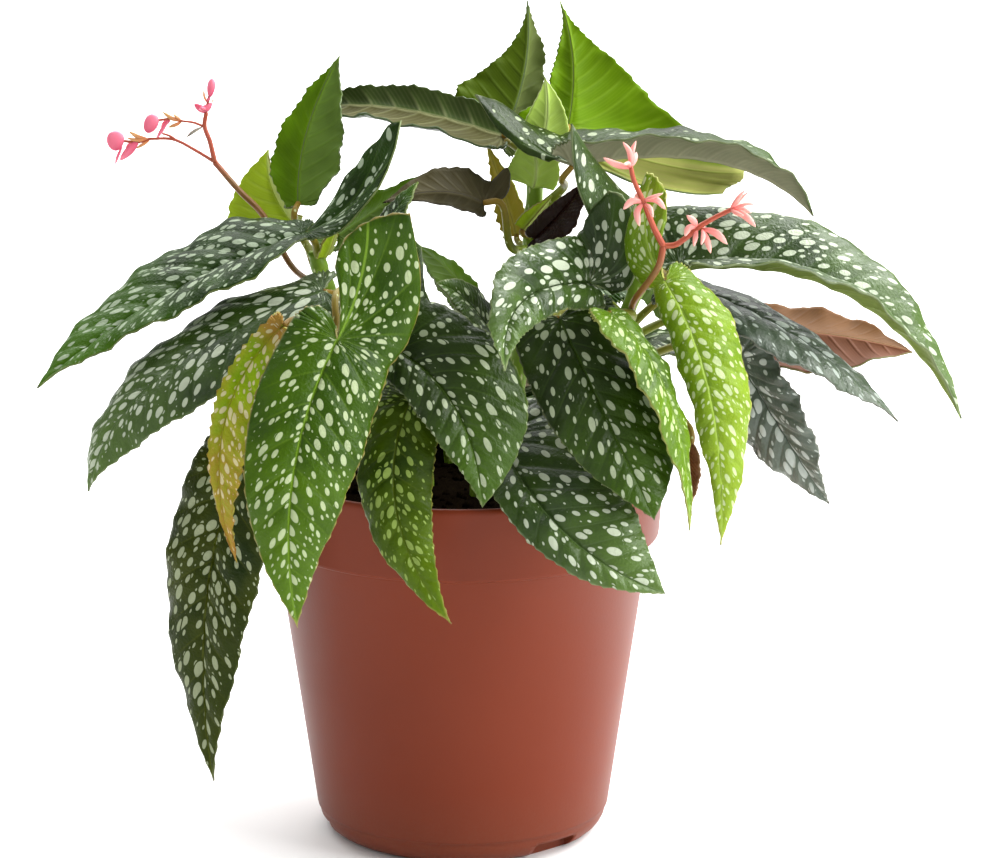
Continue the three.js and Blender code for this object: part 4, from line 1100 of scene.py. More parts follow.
        height = nodes.add("Math", [ridges, 0.6, grain], operation="MULTIPLY_ADD")
        bump = nodes.add("Bump", {"Height": height, "Strength": 0.5, "Distance": 0.0007})
        return nodes.finish({"Base Color": colour, "Roughness": rough, "Normal": bump, "IOR": 1.45,
                             "Specular IOR Level": finish.sheen})

    def lines_between(self, nodes: Nodes, blade: BladePlace, count: int) -> Any:
        """Runs fine lines beside the veins.

        Args:
            nodes: The material that the nodes are added to.
            blade: The blade's sockets.
            count: How many lines there are from one vein to the next.

        Returns:
            A value that is 0 on a line and 0.5 halfway to the next.
        """
        fine = nodes.add("Math", [blade.index, float(count)], operation="MULTIPLY")
        return nodes.add("Math", [fine, 0.5], operation="PINGPONG")

    def under(self) -> Material:
        """Dresses the underside: soft tissue between raised veins, with fine lines beside them.

        Returns:
            The material.
        """
        finish = self.finish
        nodes = Nodes(f"matt_underside_{self.look.value}")
        blade = BladePlace.read(nodes)
        colour: Any = linear(finish.under)
        if finish.under_narrow:
            colour = nodes.add("Mix", {0: blade.half, 6: linear(finish.under_narrow), 7: colour},
                               data_type="RGBA")
        # Painted shade: the basal lobe, which turns down, takes a colour of its own.
        if finish.under_lobe_shade:
            lobe = nodes.add("MapRange", {"Value": blade.along, "From Min": 2.0, "From Max": -2.0},
                             interpolation_type="SMOOTHSTEP")
            colour = nodes.add("Mix", {0: lobe, 6: colour, 7: linear(finish.under_lobe_shade)},
                               data_type="RGBA")
        patches = nodes.add("TexNoise", {"Vector": blade.flat, "Scale": self.PATCHES, "Detail": 4.0})
        shade = nodes.add("MapRange", {"Value": patches, "From Min": 0.3, "From Max": 0.7,
                                       "To Min": 0.78, "To Max": 1.2})
        colour = nodes.add("Mix", {0: 1.0, 6: colour, 7: shade}, data_type="RGBA", blend_type="MULTIPLY")
        rib, lines = self.vein_lines(nodes, blade, 1.5)
        raised = nodes.add("Math", [rib, lines], operation="MAXIMUM")
        shown = nodes.add("Math", [lines, finish.vein_show], operation="MULTIPLY")
        rib = nodes.add("Math", [rib, 0.6], operation="MULTIPLY")
        shown = nodes.add("Math", [shown, rib], operation="MAXIMUM")
        fine = self.lines_between(nodes, blade, 5)
        fine = nodes.add("MapRange", {"Value": fine, "From Min": 0.3, "From Max": 0.0, "To Max": 0.15})
        shown = nodes.add("Math", [shown, fine], operation="MAXIMUM")
        colour = nodes.add("Mix", {0: shown, 6: colour, 7: linear(finish.under_vein)}, data_type="RGBA")
        bump = nodes.add("Bump", {"Height": raised, "Strength": 0.5, "Distance": 0.0004})
        return nodes.finish({"Base Color": colour, "Roughness": 0.5, "Normal": bump, "IOR": 1.45,
                             "Specular IOR Level": 0.08})

    def margin(self) -> Material:
        """Dresses the edge of the blade in its thin paler skin.

        Returns:
            The material, with a blush in patches 11 mm across.
        """
        nodes = Nodes(f"leaf_margin_{self.look.value}")
        place = nodes.add("TexCoord").node.outputs["Object"]
        blush = nodes.add("TexNoise", {"Vector": place, "Scale": 90.0, "Detail": 2.0})
        colour = nodes.add("Mix", {0: blush, 6: linear(self.finish.body), 7: linear(self.finish.margin)},
                           data_type="RGBA")
        return nodes.finish({"Base Color": colour, "Roughness": 0.5})


@dataclass(frozen=True)
class SheetPoint:
    """One vertex of a blade before its veins are drawn.

    Point lies on the plain surface, upper is the upper direction there, and flat holds its place
    along and away from the midrib of the flat leaf and its distance from the margin.
    """

    vertex: BMVert
    point: Vector
    upper: Vector
    flat: Point


@dataclass
class Foliage:
    """The leaves and sheaths, each a fine sheet on the surface of its blade.

    Lengths are in millimetres. Columns and rows are the cells of a half's grid, and the waves are
    counted along a half and round its lobe. A swelling or groove is at its full height where veins
    and margin are at least as far off as its spacing and margin say.
    """

    columns: int = 60
    lobe_columns: int = 30
    rows: int = 15
    thickness: float = 0.7
    tooth: float = 0.8
    tooth_columns: int = 3
    frill: float = 0.6
    frill_waves: float = 9
    lobe_waves: float = 5
    frill_width: float = 8
    quilting: float = 0.75
    swelling_spacing: float = 12
    swelling_margin: float = 7
    vein_depth: float = 0.5
    groove_width: float = 0.9
    groove_spacing: float = 6
    groove_margin: float = 4
    midrib_depth: float = 1.2
    midrib_width: float = 1.2
    small_quilting: float = 0.4
    vein_gap: float = 13.0
    least_gap: float = 5
    usual_length: float = 115
    widest_spacing: float = 40
    vein_angle: float = 58.0
    vein_leaning: float = 0.3
    palm_angle: float = 23.0
    palm_veins: float = 6
    halvings: int = 20
    row_width: float = 6.0
    noise_step: float = 40
    vein_curve: float = 0.006
    materials: dict[Look, list[Material]] = field(default_factory=dict)

    def build(self, slots: dict[str, str]) -> None:
        """Builds every blade.

        Args:
            slots: The material slot of each node.
        """
        for look in Look:
            self.materials[look] = BladeMaterials(look).build()
        for number, leaf in enumerate(LEAVES):
            self.build_leaf(leaf, number, slots[leaf.name])

    def build_leaf(self, leaf: Leaf, number: int, slot: str) -> None:
        """Builds one blade as two halves that meet along its midrib.

        Args:
            leaf: The leaf.
            number: Its place in the list, which sets its own pattern of spots.
            slot: Its material slot.
        """
        blade = Blade(leaf)
        bm = bmesh.new()
        layers = [bm.verts.layers.float_vector.new(name) for name in ("flat", "vein", "edge")]
        sheet: list[SheetPoint] = []
        finer = 2 if leaf.small else 1
        columns = self.columns // finer
        lobe_columns = 0 if leaf.sheath else self.lobe_columns // finer
        for side in (0, 1):
            sign = -1 if side else 1

            def place(
                vertex: BMVert, u: float, t: float, side: int = side, sign: int = sign
            ) -> Vector:
                """Lays one vertex on a half of the blade and notes its place on the flat leaf.

                Args:
                    vertex: The vertex.
                    u: Its share of the way from the end of the lobe to the tip.
                    t: Its share of the way from the midrib to the margin.
                    side: The half.
                    sign: Minus one on the narrow half, else one.

                Returns:
                    Its point on the plain surface.
                """
                column = round(u * (columns + lobe_columns)) - lobe_columns
                bite = self.tooth * ((column % self.tooth_columns) / self.tooth_columns)
                bite = bite * leaf.frill / finer
                if column >= 0:
                    s = column / columns
                    width = blade.half_width(side, s)
                    t = t * (1 - min(bite / max(width, 1), 0.3) * t**6)
                    point, upper = blade.front(side, s, t)
                    flat = (s * blade.length, sign * width * t, (1 - t) * width)
                    phase = self.frill_waves * s
                else:
                    angle = blade.lobe_angle(side, -column / lobe_columns)
                    radius = blade.lobe_radius(side, angle)
                    t = t * (1 - bite / max(radius, 1) * t**6)
                    point, upper = blade.back(side, angle, t)
                    flat = (radius * t * math.cos(angle), sign * radius * t * math.sin(angle),
                            (1 - t) * radius)
                    phase = self.lobe_waves * column / lobe_columns
                frill = leaf.frill * self.frill / finer * math.sin(math.tau * phase + side) * t**5
                full = min(flat[2] + abs(flat[1]), self.frill_width) / self.frill_width
                sheet.append(SheetPoint(vertex, point + upper * (frill * full), upper, flat))
                return point

            faces = lay_grid(bm, columns + lobe_columns, self.rows // finer, place)
            if blade.upper_sign(side) > 0:
                bmesh.ops.reverse_faces(bm, faces=faces)
        self.draw_veins(layers, blade, number, sheet)
        piece = settle(bm, f"{leaf.name}_blade", leaf.name, slot, self.materials[leaf.look], False)
        body = piece.modifiers.new("body", "SOLIDIFY")
        body.thickness = self.thickness * MM
        body.offset = 0
        body.material_offset = 1
        body.material_offset_rim = 2

    def vein_index(self, p: np.ndarray, q: np.ndarray, gap: float, length: float) -> np.ndarray:
        """Finds which vein runs through each place, as a number that is whole on a vein.

        Veins leave the midrib at steps of gap, and fan out round the base where it ends.

        Args:
            p: The places along the midrib in millimetres.
            q: The places away from it.
            gap: The distance between veins on the midrib.
            length: The midrib's length.

        Returns:
            One number for each place.
        """
        low = np.full_like(p, -self.palm_veins)
        high = np.full_like(p, length / gap + 2)
        for _ in range(self.halvings):
            middle = (low + high) / 2
            origin = np.maximum(middle, 0) * gap
            fan = np.radians(self.palm_angle) * np.maximum(-middle, 0)
            leaving = np.radians(self.vein_angle) * (1 - self.vein_leaning * origin / length) + fan
            reach = np.hypot(p - origin, q)
            turned = np.arctan2(q, p - origin) + self.vein_curve * reach / 2 - leaving
            high = np.where(turned > 0, middle, high)
            low = np.where(turned > 0, low, middle)
        return (low + high) / 2

    def draw_veins(
        self, layers: list[Any], blade: Blade, number: int, sheet: list[SheetPoint]
    ) -> None:
        """Sinks the veins, swells the blade between them and stores what its materials read.

        Args:
            layers: The mesh's layers for the flat place, vein and edge of each vertex.
            blade: Its surface.
            number: Its place in the list of leaves.
            sheet: Its vertices.
        """
        places = np.array([spot.flat for spot in sheet])
        p, q, margin = places[:, 0], np.abs(places[:, 1]), places[:, 2]
        gap = max(self.vein_gap * blade.length / self.usual_length, self.least_gap)
        step = 0.4
        index = self.vein_index(p, q, gap, blade.length)
        slope_p = (self.vein_index(p + step, q, gap, blade.length) - index) / step
        slope_q = (self.vein_index(p, q + step, gap, blade.length) - index) / step
        spacing = np.minimum(1 / np.maximum(np.hypot(slope_p, slope_q), 1e-4), self.widest_spacing)
        off = np.abs(index - np.round(index))
        swelling = np.sin(math.pi * off) * np.minimum(spacing / self.swelling_spacing, 1)
        swelling = swelling * np.minimum(margin / self.swelling_margin, 1)
        groove = np.exp(-((off * spacing / self.groove_width) ** 2))
        groove = groove * np.minimum(margin / self.groove_margin, 1)
        midrib = self.midrib_depth * np.exp(-((q / self.midrib_width) ** 2))
        groove = np.maximum(groove, midrib) * np.minimum(spacing / self.groove_spacing, 1)
        height = self.quilting * swelling - self.vein_depth * groove
        height = height * blade.leaf.quilt * (self.small_quilting if blade.leaf.small else 1.0)
        reach = np.hypot(p - np.maximum(index, 0) * gap, q)
        along = np.clip(p / blade.length, 0, 1)
        rows = max(1, round(gap * math.sin(math.radians(self.vein_angle)) / self.row_width))
        flat, vein, edge = layers
        for i, spot in enumerate(sheet):
            spot.vertex.co = spot.point + spot.upper * float(height[i])
            spot.vertex[flat] = (*spot.flat[:2], self.noise_step * (number + 1))
            spot.vertex[vein] = (index[i], reach[i], spacing[i])
            spot.vertex[edge] = (margin[i], along[i], rows)


class Path:
    """A smooth run in space, measured by its length."""

    STEPS = 24

    def __init__(self, samples: list[Vector]) -> None:
        """Measures a run that is given by close points.

        Args:
            samples: Points along the run.
        """
        self.samples = samples
        self.reached = [0.0]
        for first, second in zip(samples, samples[1:]):
            self.reached.append(self.reached[-1] + (second - first).length)

    @classmethod
    def through(cls, points: Sequence[Point | Vector]) -> "Path":
        """Runs a centripetal curve through points.

        Args:
            points: The points that the run passes through.

        Returns:
            The run.
        """
        marks = [Vector(point) for point in points]
        marks = [2 * marks[0] - marks[1], *marks, 2 * marks[-1] - marks[-2]]
        samples = [marks[1]]
        for before, start, end, after in zip(marks, marks[1:], marks[2:], marks[3:]):
            gaps = [math.sqrt((b - a).length) for a, b in ((before, start), (start, end), (end, after))]
            rise = cls.slope(before, start, end, gaps[0], gaps[1]) * gaps[1]
            fall = cls.slope(start, end, after, gaps[1], gaps[2]) * gaps[1]
            for i in range(1, cls.STEPS + 1):
                t = i / cls.STEPS
                samples.append(
                    (2 * t**3 - 3 * t * t + 1) * start + (t**3 - 2 * t * t + t) * rise
                    + (3 * t * t - 2 * t**3) * end + (t**3 - t * t) * fall
                )
        return cls(samples)

    @staticmethod
    def slope(first: Vector, middle: Vector, last: Vector, gap: float, next_gap: float) -> Vector:
        """Returns a curve's slope at the middle of three points with given gaps."""
        return (middle - first) / gap - (last - first) / (gap + next_gap) + (last - middle) / next_gap

    @classmethod
    def bezier(cls, a: Vector, b: Vector, c: Vector, d: Vector) -> "Path":
        """Runs a cubic curve.

        Args:
            a: Where it starts.
            b: What it leaves towards.
            c: What it arrives from.
            d: Where it ends.

        Returns:
            The run.
        """
        samples = []
        for i in range(2 * cls.STEPS + 1):
            t = i / (2 * cls.STEPS)
            near = (1 - t) ** 3 * a + 3 * t * (1 - t) ** 2 * b
            samples.append(near + 3 * t * t * (1 - t) * c + t**3 * d)
        return cls(samples)

    @property
    def length(self) -> float:
        """Returns the run's length."""
        return self.reached[-1]

    def at(self, part: float) -> Vector:
        """Finds a point of the run.

        Args:
            part: The share of its length.

        Returns:
            The point.
        """
        target = clamp(part) * self.length
        for i in range(1, len(self.samples)):
            if self.reached[i] >= target:
                step = self.reached[i] - self.reached[i - 1]
                return self.samples[i - 1].lerp(self.samples[i], (target - self.reached[i - 1]) / step)
        return self.samples[-1].copy()

    def direction(self, part: float) -> Vector:
        """Returns the direction at a share of the run's length."""
        return (self.at(part + 0.01) - self.at(part - 0.01)).normalized()


def lay_tube(
    bm: BMesh, path: Path, radius: Callable[[float], float], sides: int, steps: int,
    warmth: float = 0.0,
) -> None:
    """Adds a round limb along a run, closed at both ends.

    Args:
        bm: The mesh that it is added to.
        path: The limb's middle line.
        radius: Gives the limb's radius at a share of the run.
        sides: How many sides it has.
        steps: How many steps it takes.
        warmth: How red the limb grows towards its end, from 0 to 1.
    """
    layer = bm.verts.layers.float.get("warmth") or bm.verts.layers.float.new("warmth")
    directions = [path.direction(i / steps) for i in range(steps + 1)]
    sideways = [directions[0].orthogonal().normalized()]
    for direction in directions[1:]:
        last = sideways[-1]
        sideways.append((last - last.project(direction)).normalized())

    def place(vertex: BMVert, u: float, w: float) -> Vector:
        """Lays one vertex on the limb, with its first and last rows drawn in to a point.

        Args:
            vertex: The vertex, which takes its warmth.
            u: Its share of the rows.
            w: Its share of a turn.

        Returns:
            Its place.
        """
        row = round(u * (steps + 2))
        step = min(max(row - 1, 0), steps)
        part = step / steps
        size = radius(part) if 0 < row < steps + 2 else 0.0
        turn = math.tau * w
        vertex[layer] = warmth * part
        other = directions[step].cross(sideways[step])
        return path.at(part) + (sideways[step] * math.cos(turn) + other * math.sin(turn)) * size

    lay_grid(bm, steps + 2, sides, place)


@dataclass
class Stems:
    """The canes with their petioles."""

    blades: dict[str, Blade]
    cane_foot: float = 112
    petiole_foot: float = 1.9
    petiole_end: float = 1.1
    node_swelling: float = 0.7
    node_width: float = 2.4
    base_swelling: float = 0.6
    swelling_length: float = 3.5
    petiole_gap: float = 0.3
    petiole_step: float = 1.6

    def build(self, slots: dict[str, str]) -> None:
        """Builds every cane in the skin of a young begonia stem.

        Args:
            slots: The material slot of each node.
        """
        skin = self.skin()
        for cane in CANES:
            bm = bmesh.new()
            soil = (NurseryPot.soil_edge - 2, NurseryPot.soil_crown + 4)
            upright = [(*cane.at, height) for height in (self.cane_foot, *soil)]
            path = Path.through([*upright, *cane.path])

            def thickness(part: float, cane: Cane = cane, path: Path = path) -> float:
                """Finds the cane's radius, which swells at each node.

                Args:
                    part: The share of its length.
                    cane: The cane.
                    path: Its middle line.

                Returns:
                    The radius.
                """
                nearest = min(abs(part - petiole[1]) for petiole in cane.petioles) * path.length
                swelling = self.node_swelling * math.exp(-((nearest / self.node_width) ** 2))
                return mix(cane.foot, cane.top, part) + swelling

            lay_tube(bm, path, thickness, 20, 70)
            for name, height, *bends in cane.petioles:
                self.lay_petiole(bm, path, name, height, bends)
            settle(bm, f"{cane.name}_stem", cane.name, slots[cane.name], [skin])

    def lay_petiole(
        self, bm: BMesh, path: Path, name: str, height: float, bends: list[Point]
    ) -> None:
        """Adds one petiole, from the cane to the underside of its leaf.

        Args:
            bm: The cane's mesh.
            path: The cane's middle line.
            name: The leaf.
            height: The share of the cane at which the petiole leaves it.
            bends: The points that it bends through.
        """
        blade = self.blades[name]
        foot = path.at(height)
        up = blade.upper_normal()
        toward = (up + blade.along[0]).normalized()
        point = blade.base - up * self.petiole_gap
        distance = (point - foot).length
        if bends:
            lead = point - toward * min(6, 0.2 * distance)
            run = Path.through([foot, *bends, lead, point])
        else:
            rise = path.direction(height) * (0.3 * distance)
            run = Path.bezier(foot, foot + rise, point - toward * (0.35 * distance), point)

        def slimming(part: float) -> float:
            """Returns the petiole's radius, which is thickest where it leaves the cane."""
            swelling = self.base_swelling * math.exp(-((part * run.length / self.swelling_length) ** 2))
            return mix(self.petiole_foot, self.petiole_end, part) + swelling

        lay_tube(bm, run, slimming, 12, max(12, round(run.length / self.petiole_step)), 0.75)

    def skin(self) -> Material:
        """Dresses the canes in smooth green skin with pale pores, which reddens on the petioles.

        Returns:
            The material, with patches 17 mm across and pores 2.4 mm apart that are drawn out upward.
        """
        nodes = Nodes("begonia_cane_skin")
        place = nodes.add("TexCoord").node.outputs["Object"]
        warmth = nodes.add("Attribute", attribute_name="warmth").node.outputs["Fac"]
        patches = nodes.add("TexNoise", {"Vector": place, "Scale": 60.0, "Detail": 3.0})
        colour = nodes.add("Mix", {0: patches, 6: linear("#55781a"), 7: linear("#88a438")},
                           data_type="RGBA")
        colour = nodes.add("Mix", {0: warmth, 6: colour, 7: linear("#844c22")}, data_type="RGBA")
        drawn_out = nodes.add("VectorMath", [place, (1.0, 1.0, 0.35)], operation="MULTIPLY")
        pores = nodes.add("TexVoronoi", {"Vector": drawn_out, "Scale": 420.0})
        pores = nodes.add("MapRange", {"Value": pores, "From Min": 0.22, "From Max": 0.1})
        colour = nodes.add("Mix", {0: pores, 6: colour, 7: linear("#c2cc90")}, data_type="RGBA")
        bump = nodes.add("Bump", {"Height": patches, "Strength": 0.3, "Distance": 0.0004})
        return nodes.finish({"Base Color": colour, "Roughness": 0.42, "Normal": bump,
                             "Specular IOR Level": 0.2})


Run = tuple[Point, ...]


@dataclass(frozen=True)
class Spray:
    """One flower spray and what it is made of.

    A stalk has the run of its middle line and its radii at foot and end, a bud its middle, its
    extents and its tilt in degrees, and a petal or bract its run and half its greatest width. The
    stalk is brown below a height in metres.
    """

    node: str
    piece: str
    skin: str
    deep: str
    pale: str
    brown_below: float
    stalks: tuple[tuple[Run, float, float], ...]
    petals: tuple[tuple[Run, float], ...]
    buds: tuple[tuple[Point, Point, float], ...] = ()
    bracts: tuple[tuple[Run, float], ...] = ()
    withered: tuple[tuple[Run, float], ...] = ()


SPRAYS = (
    Spray("spray_left", "spray_left_buds", "pink_buds", "#d2486a", "#ee8299", 0.244, stalks=(
        (((-51, -11, 208), (-62, 4, 212), (-73, 8, 231), (-81.5, 6, 240.5), (-90, 5, 251)), 1.2, 1.1),
        (((-90, 5, 251), (-97, 5, 255.4), (-105, 5, 259.4), (-114, 5, 259.6)), 0.65, 0.5),
        (((-104, 5, 259.2), (-106, 5, 260.6), (-109, 5, 261.6)), 0.45, 0.4),
        (((-90, 5, 251), (-91.7, 5, 258.8), (-93.5, 5, 264.3), (-92.8, 5, 269.3)), 0.95, 0.8),
        (((-93.4, 5, 264), (-97.5, 5, 265.6), (-102, 5, 266.2)), 0.5, 0.4),
        (((-92.9, 5, 269), (-92.4, 5, 272), (-91.4, 5, 276)), 0.5, 0.5),
        (((-113.6, 5, 259.6), (-118, 5, 258.4), (-123, 5, 258.8)), 0.55, 0.5),
        (((-101.6, 5, 266.2), (-106, 5, 266.9), (-110.6, 5, 266.4)), 0.5, 0.45),
    ), buds=(
        ((-126, 5, 258.9), (7.8, 4.2, 7.8), 0),
        ((-113, 5, 265.2), (6.4, 3.8, 7.8), 25),
        ((-90.9, 5, 278.4), (3.6, 3.2, 7.2), 8),
    ), petals=(
        (((-97.2, 5, 272.4), (-93.8, 4.6, 270.4), (-90.4, 5, 272.9)), 1.9),
        (((-123.5, 5, 257), (-125.2, 4.6, 253.4), (-126.4, 5, 250)), 0.7),
        (((-117.5, 5, 259.4), (-120.5, 4.2, 255.8), (-124.6, 5, 251.6)), 2.0),
        (((-106.6, 5, 266.8), (-108.6, 4.4, 263.6), (-111.2, 5, 259.4)), 0.9),
        (((-92.6, 5, 272.8), (-91.2, 5, 275.6)), 0.8),
        (((-94, 5, 271.4), (-93.8, 1.6, 271), (-94.4, -1.2, 272.4)), 1.5),
        (((-119, 5, 258.6), (-121.4, 8.4, 255.8), (-122.6, 10.8, 252.4)), 1.5),
        (((-106, 5, 266.6), (-108.4, 8.2, 264.2), (-109.4, 10.4, 261)), 1.3),
    ), bracts=(
        (((-113.6, 5, 259.4), (-117.4, 4.6, 260.2), (-121.2, 5, 262.4)), 1.1),
        (((-113.6, 5, 259.8), (-118, 4.2, 259.2), (-122, 5, 260)), 0.9),
        (((-113.4, 5, 259.3), (-116, 4.6, 257.6), (-118.6, 5, 256)), 0.8),
        (((-101.6, 5, 266.2), (-105, 4.6, 267), (-108.8, 5, 269.6)), 1.0),
        (((-101.8, 5, 266.2), (-104, 4.6, 268), (-104.6, 5, 268.8)), 0.7),
        (((-101.6, 5, 266), (-104, 4.4, 264.8), (-106.8, 5, 263.8)), 0.9),
        (((-92.6, 5, 273), (-93.4, 4.8, 275.2), (-93.6, 5, 277.6)), 0.55),
        (((-90.4, 5, 273), (-90.2, 4.8, 274.4)), 0.4),
    ), withered=(
        (((-94.2, 5, 264), (-97, 4.8, 262.6), (-100.2, 5, 260.2)), 0.8),
    )),
    Spray("spray_right", "spray_right_flowers", "salmon_petals", "#dc7670", "#f0b2a8", 0.226, stalks=(
        (((61, -42, 207), (62, -58, 214), (69.6, -67, 227.5), (71.1, -67, 234.5)), 1.25, 1.2),
        (((71.1, -67, 234.5), (67.9, -67, 240.6), (64.6, -67, 248.8), (60.5, -67, 258.2),
          (59.5, -67, 262.5)), 1.15, 0.8),
        (((71.1, -67, 234.5), (75.2, -67, 234.9), (79.5, -67, 237.8), (83.9, -67, 241.5),
          (89.5, -67, 244.9), (94.5, -67, 247.4)), 1.05, 0.8),
    ), petals=(
        (((59.4, -67, 262.6), (59, -68.4, 268), (56.6, -68, 271.6)), 1.25),
        (((59.6, -67, 262.6), (59.9, -67.6, 268), (61.3, -67, 271.8)), 1.2),
        (((60, -67, 262), (54.2, -68.4, 263.6), (49.8, -68, 266)), 1.5),
        (((59.4, -67, 262.4), (58.4, -71, 264.4), (56.8, -74.4, 264.8)), 1.1),
        (((59.6, -67, 262.4), (61.2, -63.6, 265), (61.6, -60.4, 266.6)), 1.2),
        (((64, -67, 250), (60, -68.6, 250.6), (56.8, -69, 247.8)), 1.6),
        (((64, -67, 250), (61.8, -69, 246.6), (62.6, -70, 242)), 1.5),
        (((63.6, -67, 250.6), (67, -68.4, 252), (70.8, -69, 253.6)), 0.9),
        (((64, -67, 250.6), (68.4, -68.2, 251), (71.8, -68, 247.6)), 1.5),
        (((64, -66.6, 250.4), (62.4, -62.4, 251.4), (61, -59.6, 249.6)), 1.4),
        (((64.4, -67.4, 249.6), (66.2, -71.4, 248.6), (67.2, -74, 245.8)), 1.1),
        (((82.6, -67, 241), (81.4, -68.6, 243.6), (79, -69, 245.8)), 1.5),
        (((82.6, -67, 241), (80, -68.8, 241.2), (78.5, -69, 238.2)), 1.5),
        (((82.8, -67, 241), (82.2, -68.4, 237.8), (81.6, -69, 234.6)), 1.1),
        (((84.6, -67, 240.8), (86.2, -68.4, 236.8), (87.6, -69, 232.2)), 1.4),
        (((84.8, -67, 240.8), (89.6, -68.6, 239), (93.4, -69, 235.4)), 1.7),
        (((84, -66.6, 241.4), (84.6, -62.6, 241.4), (85.8, -59.4, 239.2)), 1.4),
        (((84.4, -67.4, 240.6), (84.8, -71.6, 238.8), (84, -74, 236.2)), 1.1),
        (((94.2, -67, 247.4), (96.4, -68.4, 250.8), (99.2, -69, 254.8)), 1.1),
        (((94.4, -67, 247.6), (97.6, -66, 250.6), (100.8, -66, 253.8)), 0.7),
        (((94.4, -67, 247.2), (99, -68.4, 249.4), (103.2, -69, 249.8)), 0.8),
        (((94.4, -67, 247.2), (99.4, -69, 245.4), (103.2, -70, 241.8)), 1.6),
        (((94.4, -67, 247.2), (98.6, -66.2, 247.6), (101.8, -66, 246)), 1.2),
        (((94.4, -66.8, 247.4), (97, -62.8, 248.4), (99.2, -59.8, 247.6)), 1.3),
        (((94.4, -67.2, 247.4), (96.4, -71.2, 246.8), (98.8, -74, 246.6)), 1.1),
    )),
)


